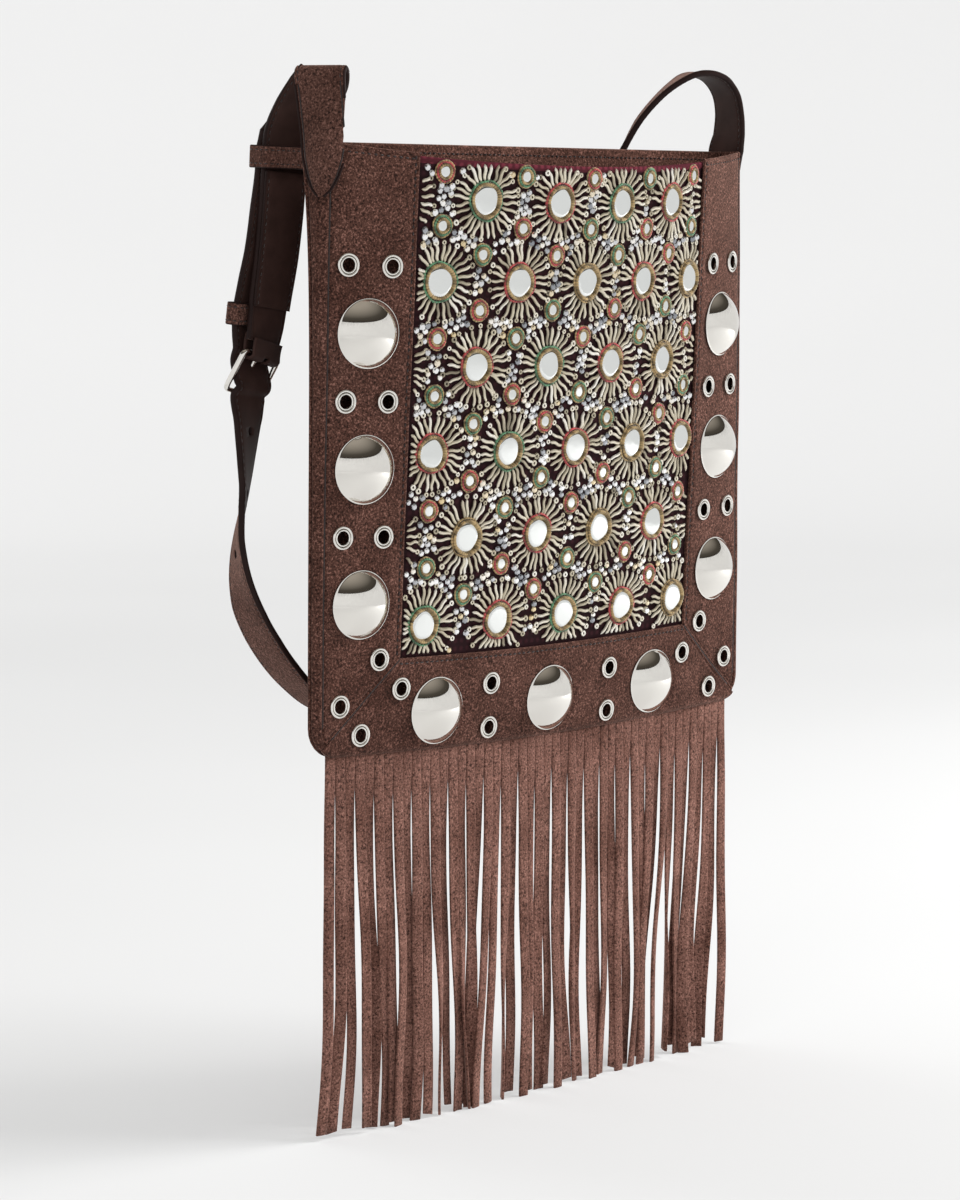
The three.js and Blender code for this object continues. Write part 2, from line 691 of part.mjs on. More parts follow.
// Dome stud: a thin cap that is open behind, with a stem through the leather to a washer
const domeSphere = (domeRadius ** 2 + domeRise ** 2) / (2 * domeRise);
const domeSteps = 3;
const capAngle = Math.asin(domeRadius / domeSphere);
const capPoint = (share, inset) => new THREE.Vector2(
  (domeSphere - inset) * Math.sin(capAngle * share),
  domeRise - domeSphere + (domeSphere - inset) * Math.cos(capAngle * share),
);
const domeProfile = [];
for (let step = 0; step <= domeSteps; step += 1) {
  domeProfile.push(capPoint(step / domeSteps, 0).add(new THREE.Vector2(0, gap)));
}
domeProfile.push(new THREE.Vector2(domeRadius - domeWall, gap));
domeProfile.push(new THREE.Vector2(domeStemRadius, domeRise - 2.5 * domeWall));
domeProfile.push(new THREE.Vector2(domeStemRadius, -suede - gap));
domeProfile.push(new THREE.Vector2(domeWasherRadius, -suede - gap));
domeProfile.push(new THREE.Vector2(0, -suede - 2 * gap - domeWall / 2));
const domeGeometry = new THREE.LatheGeometry(domeProfile, 10);
domePlaces.forEach(({ u, z }, index) => {
  addPiece(`dome_stud_${index + 1}`, domeGeometry, metalMaterial, frontMatrix(u, z));
});

// Eyelet: a rolled front rim and a barrel through the leather
const eyeletProfile = [
  new THREE.Vector2(eyeletHole, eyeletRise + gap),
  new THREE.Vector2(eyeletRadius, gap),
  new THREE.Vector2(eyeletHole + eyeletBarrel, gap),
  new THREE.Vector2(eyeletHole + eyeletBarrel, -suede - gap),
  new THREE.Vector2(eyeletHole, -suede - gap),
  new THREE.Vector2(eyeletHole, eyeletRise + gap),
];
const eyeletGeometry = new THREE.LatheGeometry(eyeletProfile, 8);
eyeletPlaces.forEach(({ u, z }, index) => {
  const name = `eyelet_${String(index + 1).padStart(2, '0')}`;
  addPiece(name, eyeletGeometry, metalMaterial, frontMatrix(u, z));
});

const model = new THREE.Group();
model.add(bag);

export default model;
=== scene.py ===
"""Finish of a fringed suede crossbody bag that hangs by its strap.

Lengths are millimetres in the bag's own frame: x along the front, y away from it with both side
edges at y = 0, and z up from the bottom edge. placed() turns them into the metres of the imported
frame, whose origin is where the strap's bends hang.
"""
import math

import bmesh
import bpy
import numpy as np
from mathutils import Matrix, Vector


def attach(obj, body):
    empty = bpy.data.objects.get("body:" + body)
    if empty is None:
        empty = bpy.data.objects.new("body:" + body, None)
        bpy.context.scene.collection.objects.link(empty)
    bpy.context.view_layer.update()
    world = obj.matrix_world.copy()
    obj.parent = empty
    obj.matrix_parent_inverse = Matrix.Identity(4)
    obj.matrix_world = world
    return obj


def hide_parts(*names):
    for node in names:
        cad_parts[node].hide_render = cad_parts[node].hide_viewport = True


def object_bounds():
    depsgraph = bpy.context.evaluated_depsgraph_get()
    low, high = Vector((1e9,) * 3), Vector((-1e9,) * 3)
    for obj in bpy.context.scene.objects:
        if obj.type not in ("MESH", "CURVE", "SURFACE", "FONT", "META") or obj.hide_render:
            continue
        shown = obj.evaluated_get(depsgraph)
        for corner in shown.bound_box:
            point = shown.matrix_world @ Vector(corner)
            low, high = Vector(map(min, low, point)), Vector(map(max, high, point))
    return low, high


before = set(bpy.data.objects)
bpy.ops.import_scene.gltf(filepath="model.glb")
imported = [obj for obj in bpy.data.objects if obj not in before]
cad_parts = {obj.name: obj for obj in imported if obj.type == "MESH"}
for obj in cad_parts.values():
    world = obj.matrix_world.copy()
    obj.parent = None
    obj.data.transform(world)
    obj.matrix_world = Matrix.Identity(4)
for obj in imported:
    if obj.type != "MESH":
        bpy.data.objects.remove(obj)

CAD_BOX = [list(corner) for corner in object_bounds()]

bl_info = {
    "name": "Fringed suede crossbody bag",
    "version": (1, 0, 0),
    "blender": (4, 5, 0),
    "location": "3D View > Sidebar > Suede bag",
    "description": "Leather, thread, mirror work, fringe and metal for the packed bag",
    "category": "Object",
}

# The bag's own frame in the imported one
HANG = np.array([0.0, 12.0, 301.0])
PER_METRE = 1000.0

# Body
HALF_WIDTH = 144.0
HEIGHT = 271.0
TOP_BOW = 28.0
BOTTOM_BOW = 5.0
TOP_DIP = 8.0
BOTTOM_SAG = 3.5
CORNER_RADIUS = 13.0
SIDE_DEPTH = 13.0
BACK_BULGE = 3.0
SUEDE = 1.5
GAP = 0.3
HEADER_THICKNESS = 1.5
SEAM_DEPTH = SUEDE + GAP + HEADER_THICKNESS + GAP

# Front frame strips and the cloth window. PRESSED is the leather's dent at a stud's rim, and NEAR_EDGE
# holds the last steps of a grid towards a cut edge.
SIDE_STRIP_WIDTH = 48.0
BOTTOM_STRIP_HEIGHT = 43.0
MITRE_TIP = 4.0
MITRE_GAP = 0.4
CLOTH = 1.2
CLOTH_LAP = 4.0
HEM_DROP = 1.5
HEM_HEIGHT = 3.6
CLOTH_FACE = SUEDE + GAP
SEAM_INSET = 4.4
STITCH_INSET = 2.4
BACK_STITCH_INSET = 4.0
WINDOW_TOP_LAP = 3.4
PRESSED = 0.35
NEAR_EDGE = np.array([3.8, 3.0, 2.4, 1.8, 1.2, 0.7, 0.3, 0.0])
WINDOW_HALF = HALF_WIDTH - SIDE_STRIP_WIDTH

# Mirror work
ROW_PITCH = 38.6
COLUMN_PITCH = 42.4
MIRROR_ROWS = 6
FIRST_ROW = 20.8
MIRROR_RADIUS = 6.7
ROSETTE_BELOW = ROW_PITCH * 2 / 3
EDGE_SHIFT = 1.0
MIDDLE_SHIFT = 5.9
ROSETTE_RADIUS = 5.2
ROSETTE_MIRROR = 2.5
GLASS_TOP = 1.5
RAY_START = 8.7
RAY_END = 17.6
SHORTEST_RAY = 2.4

# Studs and eyelets
DOME_RADIUS = 15.5
DOME_RISE = 8.0
SIDE_DOME_INSET = 24.4
SIDE_DOME_HEIGHT = 68.0
DOME_PITCH = 60.0
END_DOME_INSET = 71.0
BOTTOM_DOME_HEIGHT = 18.0
BOTTOM_EYELET_SHARE = 0.55
EYELET_RADIUS = 5.35
EYELET_HOLE = 3.0
EYELET_INSETS = (13.5, 35.3)
EYELET_HEIGHTS = (7.8, 28.3)
CORNER_EYELETS = ((35.3, 43.2), (13.5, 23.0), (48.5, 29.4), (25.6, 9.6))

# Fringe
FRINGE_COUNT = 48
FRINGE_LENGTH = 171.0
FRINGE_WIDTH = 5.7
FRINGE_THICKNESS = 1.2
FRINGE_HALF = HALF_WIDTH - 8.0

# Strap, keepers and buckle
STRAP_WIDTH = 24.0
STRAP_THICKNESS = 3.0
STRAP_BEHIND = 35.0
TAB_SIDE = 15.0
LAYER = 1.5
KEEPER_HEIGHT = 10.0
KEEPER_WALL = 1.5
KEEPER_ROOM = 0.9
WIRE = 2.4
BUCKLE_LENGTH = 19.0
BUCKLE_ROOM = 0.8
PRONG_RADIUS = 0.9
PUNCHED_HOLE = 2.0
EMPTY_HOLES = (0.53, 0.43, 0.33)

# Camera of the photograph: place in millimetres in the bag's frame, turn, and focal length over the
# image's height
IMAGE_HEIGHT = 1200.0
SENSOR = 36.0
CAMERA_PLACE = np.array([-1165.9, -1106.7, 243.4])
CAMERA_YAW = 0.7937
CAMERA_PITCH = -0.1137
CAMERA_ROLL = 0.0079
FOCAL_PIXELS = 3449.0

# Light given off by the sweep near its middle and up its wall, so that its shades are even
FLOOR_GLOW = 0.335
WALL_GLOW = 0.545

STEP = 0.01
SEED = 11


def linear(text):
    """Linear red, green, blue and a one, from an sRGB hex value."""
    channels = [int(text[i:i + 2], 16) / 255 for i in (1, 3, 5)]
    return tuple(c / 12.92 if c <= 0.04045 else ((c + 0.055) / 1.055) ** 2.4 for c in channels) + (1.0,)


def mix(first, second, share):
    """The value a share of the way from the first to the second."""
    return first + (second - first) * share


def unit(vectors):
    """Vectors divided by their lengths."""
    return vectors / np.maximum(np.linalg.norm(vectors, axis=-1, keepdims=True), 1e-12)


def placed(points):
    """Millimetres in the bag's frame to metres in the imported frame."""
    return (points - HANG) / PER_METRE


def stack(*parts):
    """Coordinate arrays, stretched to one shape, as an array of points."""
    return np.stack(np.broadcast_arrays(*parts), -1)


def smooth(value):
    """Eased step: 0 below 0, 1 above 1, 3v^2 - 2v^3 between."""
    held = np.clip(value, 0, 1)
    return held * held * (3 - 2 * held)


def bow_curvature(z):
    """Curvature of the front's level arcs: 2 bow / half width^2, its bow growing evenly with height."""
    return 2 * mix(BOTTOM_BOW, TOP_BOW, z / HEIGHT) / HALF_WIDTH ** 2


def half_chord(z):
    """Distance of the bowed front's side edge from its middle plane: sin(k W) / k."""
    return np.sin(bow_curvature(z) * HALF_WIDTH) / bow_curvature(z)


def front_at(u, z, depth=0.0):
    """Front: every level is an arc of curvature k, (sin(k u), cos(k W) - cos(k u)) / k, and depth moves
    a point towards the arc's centre. Heights drop in the middle, by the sag below and the dip above."""
    curvature = bow_curvature(z)
    angle = curvature * u
    level = z / HEIGHT
    rise = BOTTOM_SAG * (1 - level) + TOP_DIP * np.maximum(level, 0) ** 6
    return stack(
        np.sin(angle) / curvature - depth * np.sin(angle),
        (np.cos(curvature * HALF_WIDTH) - np.cos(angle)) / curvature + depth * np.cos(angle),
        z - (1 - (u / HALF_WIDTH) ** 2) * rise,
    )


def front_frame(u, z, depth=0.0):
    """Points on the front with their side, up and out directions, from small steps along and up."""
    side = unit(front_at(u + STEP, z, depth) - front_at(u - STEP, z, depth))
    rise = front_at(u, z + STEP, depth) - front_at(u, z - STEP, depth)
    out = unit(np.cross(side, rise))
    return front_at(u, z, depth), np.stack([side, np.cross(out, side), out], -2)


def on_front(u, z, depth, local):
    """Local grids, as side, up and out, carried to each place on the front."""
    origin, axes = front_frame(np.asarray(u, float), np.asarray(z, float), depth)
    return origin[..., None, None, :] + np.einsum("...nmk,...kj->...nmj", local, axes)


def back_edge_depth(z):
    """Depth of the side walls: shallow for most of the height and widest at the mouth."""
    level = z / HEIGHT
    return SEAM_DEPTH + (SIDE_DEPTH - SEAM_DEPTH) * (0.2 * level + 0.8 * np.maximum(level, 0) ** 7)


def back_at(share, z, depth=0.0):
    """Back: straight between its edges, with a bulge of (1 - share^2) times a half sine over the height."""
    level = z / HEIGHT
    middleness = 1 - share ** 2
    bulge = BACK_BULGE * np.sin(np.pi * level) - BOTTOM_BOW * (1 - level) ** 3
    return stack(
        share * half_chord(z),
        back_edge_depth(z) + bulge * middleness + depth,
        z - middleness * BOTTOM_SAG * (1 - level),
    )


def edge_distance(z):
    """Distance of the side edge from the middle: straight, then a quarter circle at the bottom corner."""
    below = np.clip(CORNER_RADIUS - z, 0, CORNER_RADIUS)
    return HALF_WIDTH - CORNER_RADIUS + np.sqrt(CORNER_RADIUS ** 2 - below ** 2)


def mitre_distance(z):
    """Distance of a mitre from the middle: it falls evenly to the window's half width, then is upright."""
    return HALF_WIDTH - SIDE_STRIP_WIDTH * np.minimum(z / BOTTOM_STRIP_HEIGHT, 1)


def stud_places():
    """Places (u, z) of the dome studs and of the eyelets on the front."""
    domes, eyelets = [], []
    pitch = HALF_WIDTH - END_DOME_INSET
    for side in (-1, 1):
        for level in range(3):
            height = SIDE_DOME_HEIGHT + level * DOME_PITCH
            domes.append((side * (HALF_WIDTH - SIDE_DOME_INSET), height))
            eyelets += [(side * (HALF_WIDTH - inset), height + DOME_PITCH / 2) for inset in EYELET_INSETS]
        eyelets += [(side * (HALF_WIDTH - inset), height) for inset, height in CORNER_EYELETS]
        eyelets += [(side * BOTTOM_EYELET_SHARE * pitch, height) for height in EYELET_HEIGHTS]
    domes += [(step * pitch, BOTTOM_DOME_HEIGHT) for step in (-1, 0, 1)]
    return np.array(domes), np.array(eyelets)


DOMES, EYELETS = stud_places()


def lathe(profile, sides, phase=0.0):
    """Rows of (radius, height) turned round the out direction, as a grid of side, up and out."""
    radius, height = np.asarray(profile, float).T[..., None]
    angle = phase + np.arange(sides) * 2 * np.pi / sides
    return stack(radius * np.cos(angle), radius * np.sin(angle), height)


def arc(centre, radius, start, end, count):
    """Points (x, y) on an arc between two angles in degrees, both ends included."""
    angle = np.radians(np.linspace(start, end, count))
    return np.stack([centre[0] + radius * np.cos(angle), centre[1] + radius * np.sin(angle)], -1)


def rod(path, out, half_width, half_height, around):
    """A closed rod: an ellipse with the two half sizes carried along the path, its flat way facing out."""
    forward = unit(np.gradient(path, axis=-2))
    across = unit(np.cross(forward, np.broadcast_to(out, forward.shape)))
    rise = np.cross(across, forward)
    angle = np.arange(around) * 2 * np.pi / around
    wide = across[..., None, :] * (half_width[..., None] * np.cos(angle))[..., None]
    high = rise[..., None, :] * (half_height[..., None] * np.sin(angle))[..., None]
    return path[..., None, :] + wide + high


def graded(length, count, border=(0.0, 0.3, 0.7, 1.2, 1.8, 2.4, 3.0, 3.5, 3.9, 4.15, 4.4, 4.65, 4.9, 5.4)):
    """Distances from 0 to a length, fine at both borders and even between them, as shares of it."""
    near = np.array(border)
    middle = np.linspace(near[-1], length - near[-1], count)[1:-1]
    return np.concatenate([near, middle, length - near[::-1]]) / length


class Piece:
    """Gathers grids of points in millimetres and makes one mesh of them."""

    def __init__(self, name):
        self.name = name
        self.points = []
        self.faces = []
        self.kinds = []
        self.tones = []
        self.count = 0

    def _keep(self, points, faces, kinds, tone):
        self.points.append(points.reshape(-1, 3))
        self.faces.append(faces.reshape(-1, 4))
        self.kinds.append(np.broadcast_to(kinds, faces.shape[:-1]).reshape(-1))
        self.tones.append(np.broadcast_to(tone, points.shape[:-1]).reshape(-1))
        self.count += self.points[-1].shape[0]

    def grid(self, grid, wrap=(False, False), kind=0, tone=0.0):
        """Adds copies of a grid (..., n, m, 3), closed on itself along rows or columns where wrap says so."""
        rows, columns = grid.shape[-3:-1]
        copies = grid.reshape(-1, rows, columns, 3)
        number = np.arange(rows * columns).reshape(rows, columns)
        number = np.concatenate([number, number[:1]]) if wrap[0] else number
        number = np.concatenate([number, number[:, :1]], 1) if wrap[1] else number
        cells = np.stack([number[:-1, :-1], number[1:, :-1], number[1:, 1:], number[:-1, 1:]], -1)
        start = self.count + np.arange(len(copies)) * rows * columns
        tone = np.asarray(tone, float)
        tone = tone.reshape(-1, 1, 1) if tone.ndim == 1 else tone
        self._keep(copies, start[:, None, None, None] + cells, kind, tone)

    def slab(self, front, back, keep=None, kind=0):
        """Adds a closed sheet: two like grids joined by walls along every border of the kept cells."""
        rows, columns = front.shape[:2]
        keep = np.ones((rows - 1, columns - 1), bool) if keep is None else keep
        number = self.count + np.arange(rows * columns).reshape(rows, columns)
        behind = rows * columns
        cells = np.stack([number[:-1, :-1], number[1:, :-1], number[1:, 1:], number[:-1, 1:]], -1)[keep]
        faces = [cells, cells[:, ::-1] + behind]
        pairs = ((number[:, :-1], number[:, 1:]), (number[:-1], number[1:]))
        for axis, (first, second) in enumerate(pairs):
            padding = [(1, 1) if axis == k else (0, 0) for k in (0, 1)]
            border = np.diff(np.pad(keep, padding).astype(int), axis=axis) != 0
            faces.append(np.stack([first, second, second + behind, first + behind], -1)[border])
        self._keep(np.stack([front, back]), np.concatenate(faces), kind, 0.0)

    def finish(self, materials, replaced=(), flat=False):
        """Makes the object: welds poles and ends, turns faces out, and rides on the bag's one body."""
        faces = np.concatenate(self.faces)
        used, faces = np.unique(faces, return_inverse=True)
        faces = faces.reshape(-1, 4)
        points = placed(np.concatenate(self.points)[used])
        mesh = bpy.data.meshes.new(self.name)
        mesh.vertices.add(len(points))
        mesh.vertices.foreach_set("co", points.astype(np.float32).ravel())
        mesh.loops.add(faces.size)
        mesh.loops.foreach_set("vertex_index", faces.astype(np.int32).ravel())
        mesh.polygons.add(len(faces))
        mesh.polygons.foreach_set("loop_start", np.arange(0, faces.size, 4, dtype=np.int32))
        mesh.polygons.foreach_set("material_index", np.concatenate(self.kinds).astype(np.int32))
        mesh.update(calc_edges=True)
        tone = mesh.attributes.new("tone", "FLOAT", "POINT")
        tone.data.foreach_set("value", np.concatenate(self.tones)[used].astype(np.float32))
        soup = bmesh.new()
        soup.from_mesh(mesh)
        bmesh.ops.remove_doubles(soup, verts=soup.verts, dist=2e-6)
        bmesh.ops.recalc_face_normals(soup, faces=soup.faces)
        for face in soup.faces:
            face.smooth = not flat
        soup.to_mesh(mesh)
        soup.free()
        for material in materials:
            mesh.materials.append(material)
        piece = bpy.data.objects.new(self.name, mesh)
        bpy.context.scene.collection.objects.link(piece)
        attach(piece, "root")
        if replaced:
            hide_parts(*replaced)
        return piece


def add(tree, kind, settings=None, inputs=None):
    """Adds a node, sets its properties, and fills or links its inputs by name or number."""
    made = tree.nodes.new(kind)
    for name, value in (settings or {}).items():
        setattr(made, name, value)
    for name, value in (inputs or {}).items():
        if isinstance(value, bpy.types.NodeSocket):
            tree.links.new(value, made.inputs[name])
        else:
            made.inputs[name].default_value = value
    return made


def new_material(name, inputs):
    """A material with one Principled shader, whose constant values are set on its own sockets."""
    material = bpy.data.materials.new(name)
    material.use_nodes = True
    tree = material.node_tree
    tree.nodes.clear()
    shader = add(tree, "ShaderNodeBsdfPrincipled", None, inputs)
    add(tree, "ShaderNodeOutputMaterial", None, {"Surface": shader.outputs["BSDF"]})
    place = add(tree, "ShaderNodeTexCoord").outputs["Object"]
    return material, tree, shader, place


def noise(tree, place, size, detail=2.0, roughness=0.5):
    """Noise whose grains are about size millimetres wide."""
    return add(tree, "ShaderNodeTexNoise", None, {
        "Vector": place, "Scale": PER_METRE / size, "Detail": detail, "Roughness": roughness,
    }).outputs["Fac"]


def ramp(tree, value, stops):
    """Colour ramp with (position, colour) stops."""
    made = add(tree, "ShaderNodeValToRGB", None, {"Fac": value})
    elements = made.color_ramp.elements
    while len(elements) < len(stops):
        elements.new(0.5)
    for element, (position, colour) in zip(elements, stops):
        element.position = position
        element.color = colour
    return made.outputs["Color"]


def blend(tree, share, first, second, kind="MIX"):
    """Two colours mixed by a share, or combined another way."""
    return add(tree, "ShaderNodeMix", {"data_type": "RGBA", "blend_type": kind}, {
        0: share, 6: first, 7: second,
    }).outputs[2]


def bump(tree, shader, height, depth, strength=1.0):
    """Bump of a depth in millimetres."""
    made = add(tree, "ShaderNodeBump", None, {
        "Height": height, "Distance": depth / PER_METRE, "Strength": strength,
    })
    tree.links.new(made.outputs["Normal"], shader.inputs["Normal"])


def suede_material(name, colour, lift):
    """Split leather sanded to a short nap: speckled by fibres that lie different ways, with soft brushed
    patches and a pale sheen where it is seen on edge."""
    material, tree, shader, place = new_material(name, {
        "Roughness": 0.92, "Specular IOR Level": 0.15, "Sheen Weight": 0.4, "Sheen Roughness": 0.38,
        "Sheen Tint": linear("#c9a698"),
    })
    dark = tuple(0.22 * c for c in colour[:3]) + (1.0,)
    light = tuple(min(1.0, lift * c + 0.02) for c in colour[:3]) + (1.0,)
    # Nap fibres are about 0.1 mm across, drawn as tufts of 1 mm so that they show.
    nap = noise(tree, place, 1.0, 2.0, 0.75)
    speckle = ramp(tree, nap, [(0.37, dark), (0.46, colour), (0.55, colour), (0.64, light)])
    # Patches brushed one way or the other are about 20 mm wide.
    patch = ramp(tree, noise(tree, place, 22.0, 3.0), [(0.3, linear("#c4bcb8")), (0.7, linear("#ffffff"))])
    tree.links.new(blend(tree, 1.0, speckle, patch, "MULTIPLY"), shader.inputs["Base Color"])
    bump(tree, shader, nap, 0.3, 0.9)
    return material


def smooth_leather(name, colour, roughness, shine):
    """Drum-dyed leather with a thin finish: fine pebbled grain, a soft gloss and darker creases."""
    material, tree, shader, place = new_material(name, {
        "Roughness": roughness, "Specular IOR Level": shine,
    })
    grain = add(tree, "ShaderNodeTexVoronoi", {"feature": "DISTANCE_TO_EDGE"}, {
        "Vector": place, "Scale": PER_METRE / 0.9,
    }).outputs["Distance"]
    dark = tuple(0.7 * c for c in colour[:3]) + (1.0,)
    tone = ramp(tree, noise(tree, place, 9.0, 3.0), [(0.3, dark), (0.7, colour)])
    tree.links.new(tone, shader.inputs["Base Color"])
    bump(tree, shader, grain, 0.08, 0.6)
    return material


def thread_material(name, colour, roughness=0.55, metallic=0.0, twist=0.5):
    """Twisted thread: lit strands with dark valleys between them, one twist in about half a millimetre."""
    material, tree, shader, place = new_material(name, {
        "Roughness": roughness, "Metallic": metallic, "Sheen Weight": 0.25, "Sheen Roughness": 0.4,
    })
    strand = add(tree, "ShaderNodeTexWave", {"bands_direction": "DIAGONAL"}, {
        "Vector": place, "Scale": PER_METRE / twist / 20, "Distortion": 2.5, "Detail": 1.0,
    }).outputs["Fac"]
    dark = tuple(0.45 * c for c in colour[:3]) + (1.0,)
    shade = ramp(tree, strand, [(0.1, dark), (0.6, colour)])
    # The tone attribute darkens towards dark brown: painted shade in the valleys between a ring's wraps, with
    # some wraps darker at random. Stitches have no tone.
    wrap = add(tree, "ShaderNodeAttribute", {"attribute_name": "tone"}).outputs["Fac"]
    shaded = blend(tree, wrap, shade, linear("#3a2c20"))
    tree.links.new(shaded, shader.inputs["Base Color"])
    bump(tree, shader, strand, 0.1, 0.7)
    return material


def woven_material(name, colour):
    """Plain-woven cotton: crossing threads 0.6 mm apart, drawn twice as coarse as the real ones."""
    material, tree, shader, place = new_material(name, {"Roughness": 0.85, "Specular IOR Level": 0.2})
    threads = [
        add(tree, "ShaderNodeTexWave", {"bands_direction": way}, {
            "Vector": place, "Scale": PER_METRE / 0.6 / 20,
        }).outputs["Fac"] for way in ("X", "Z")
    ]
    weave = add(tree, "ShaderNodeMath", {"operation": "MULTIPLY"}, {0: threads[0], 1: threads[1]}).outputs[0]
    dark = tuple(0.5 * c for c in colour[:3]) + (1.0,)
    tree.links.new(ramp(tree, weave, [(0.1, dark), (0.7, colour)]), shader.inputs["Base Color"])
    bump(tree, shader, weave, 0.1, 0.8)
    return material


def metal_material(name, colour, roughness, mottle=0.0):
    """Polished or drawn metal: nearly a mirror, with faint wipe marks in its gloss."""
    material, tree, shader, place = new_material(name, {"Metallic": 1.0, "Base Color": colour})
    marks = noise(tree, place, 6.0, 4.0)
    gloss = add(tree, "ShaderNodeMapRange", None, {
        "Value": marks, "From Min": 0.3, "From Max": 0.7, "To Min": roughness, "To Max": roughness * 1.8,
    }).outputs["Result"]
    tree.links.new(gloss, shader.inputs["Roughness"])
    if mottle:
        bump(tree, shader, noise(tree, place, mottle, 1.0), 0.05, 0.6)
    return material


def toned_metal(name, stops, roughness, metallic=0.85, grain=0.35):
    """Bright small things whose colour differs from one to the next: their tone picks it from stops."""
    material, tree, shader, place = new_material(name, {"Roughness": roughness, "Metallic": metallic})
    tone = add(tree, "ShaderNodeAttribute", {"attribute_name": "tone"}).outputs["Fac"]
    tree.links.new(ramp(tree, tone, stops), shader.inputs["Base Color"])
    bump(tree, shader, noise(tree, place, grain, 1.0), 0.06, 0.5)
    return material


class BagColours(bpy.types.PropertyGroup):
    """Colours that a user would change, stored as linear values."""

    suede: bpy.props.FloatVectorProperty(
        name="Body suede", description="Middle colour of the front, back and side leather", subtype="COLOR",
        size=4, min=0.0, max=1.0, default=linear("#51362e"))
    fringe: bpy.props.FloatVectorProperty(
        name="Fringe suede", description="Middle colour of the fringe strips", subtype="COLOR",
        size=4, min=0.0, max=1.0, default=linear("#76544a"))
    strap: bpy.props.FloatVectorProperty(
        name="Strap suede", description="Middle colour of the strap's outer face", subtype="COLOR",
        size=4, min=0.0, max=1.0, default=linear("#583d35"))
    lining: bpy.props.FloatVectorProperty(
        name="Strap lining", description="Colour of the strap's smooth inner face", subtype="COLOR",
        size=4, min=0.0, max=1.0, default=linear("#382723"))
    edge: bpy.props.FloatVectorProperty(
        name="Painted edge", description="Colour of the paint on cut strap edges", subtype="COLOR",
        size=4, min=0.0, max=1.0, default=linear("#231614"))
    stitch: bpy.props.FloatVectorProperty(
        name="Sewing thread", description="Colour of the seams' thread", subtype="COLOR",
        size=4, min=0.0, max=1.0, default=linear("#21120f"))
    cloth: bpy.props.FloatVectorProperty(
        name="Ground cloth", description="Colour of the cloth under the mirror work", subtype="COLOR",
        size=4, min=0.0, max=1.0, default=linear("#2f1419"))
    gold: bpy.props.FloatVectorProperty(
        name="Gold thread", description="Colour of the padded rings round the mirrors", subtype="COLOR",
        size=4, min=0.0, max=1.0, default=linear("#c6aa7a"))
    red: bpy.props.FloatVectorProperty(
        name="Red thread", description="Colour of the red outer rings", subtype="COLOR",
        size=4, min=0.0, max=1.0, default=linear("#bd4749"))
    green: bpy.props.FloatVectorProperty(
        name="Green thread", description="Colour of the green outer rings", subtype="COLOR",
        size=4, min=0.0, max=1.0, default=linear("#588f69"))


class BagSizes(bpy.types.PropertyGroup):
    """Sizes of sewn and loose details, in millimetres."""

    stitch_length: bpy.props.FloatProperty(
        name="Stitch length", description="Visible length of a stitch, in millimetres", default=2.3,
        min=0.5, max=8.0)
    stitch_pitch: bpy.props.FloatProperty(
        name="Stitch pitch", description="Distance from stitch to stitch, in millimetres", default=3.0,
        min=1.0, max=12.0)
    ray_count: bpy.props.IntProperty(
        name="Rays", description="Number of wire rays round a large mirror", default=28, min=8, max=60)
    stone: bpy.props.FloatProperty(
        name="Stone width", description="Width of a round crystal, in millimetres", default=3.5,
        min=1.0, max=6.0)
    bead: bpy.props.FloatProperty(
        name="Bead width", description="Width of a bead at a ray's end, in millimetres", default=3.4,
        min=1.0, max=6.0)
    fringe_sway: bpy.props.FloatProperty(
        name="Fringe sway", description="How far the strips wander sideways, in millimetres", default=2.6,
        min=0.0, max=10.0)


MATERIALS = {}


def make_materials(colours):
    """Makes each finish once, named for the real material."""
    silver = [(0.0, linear("#8b8271")), (0.35, linear("#c6bca6")), (0.7, linear("#e2dac8")),
              (1.0, linear("#f3efe6"))]
    crystal = [(0.0, linear("#8d9096")), (0.3, linear("#d8d8da")), (0.75, linear("#ffffff")),
               (1.0, linear("#dcc79c"))]
    MATERIALS.update({
        "suede": suede_material("Brushed suede, body", tuple(colours.suede), 2.7),
        "fringe": suede_material("Brushed suede, fringe", tuple(colours.fringe), 1.8),
        "strap": suede_material("Brushed suede, strap", tuple(colours.strap), 2.2),
        "lining": smooth_leather("Smooth lining leather", tuple(colours.lining), 0.6, 0.08),
        "edge": smooth_leather("Painted leather edge", tuple(colours.edge), 0.45, 0.1),
        "stitch": thread_material("Waxed polyester thread", tuple(colours.stitch)),
        "cloth": woven_material("Plain-woven cotton ground", tuple(colours.cloth)),
        "hem": woven_material("Plain-woven cotton hem", linear("#642833")),
        "gold": thread_material("Gold metal thread", tuple(colours.gold), 0.38, 0.65),
        "red": thread_material("Red silk thread", tuple(colours.red), 0.45),
        "green": thread_material("Green silk thread", tuple(colours.green), 0.45),
        "nickel": metal_material("Polished nickel plate", linear("#e6e3dd"), 0.035),
        # The dark nickel paints the shade in the eyelets' groove.
        "groove_shade": metal_material("Nickel darkened as painted shade in a groove", linear("#4a453f"), 0.3),
        "mirror": metal_material("Silvered mirror glass", linear("#e4e6e4"), 0.03, 5.0),
        "wire": toned_metal("Coiled silver bullion wire", silver, 0.34, 0.75, 0.45),
        "bead": toned_metal("Silver-lined seed bead", silver, 0.18, 0.8, 0.8),
        "stone": toned_metal("Foil-backed crystal", crystal, 0.06, 0.9, 1.6),
    })


def near_stud(u, z):
    """How deep a stud presses the leather round it: 0.35 mm at its rim, gone 3 mm away."""
    sink = np.zeros(np.broadcast(u, z).shape)
    for places, radius in ((DOMES, DOME_RADIUS), (EYELETS, EYELET_RADIUS)):
        for stud_u, stud_z in places:
            beyond = np.maximum(np.hypot(u - stud_u, z - stud_z) - radius, 0)
            sink = np.maximum(sink, PRESSED * np.exp(-(beyond / 1.8) ** 2))
    return sink


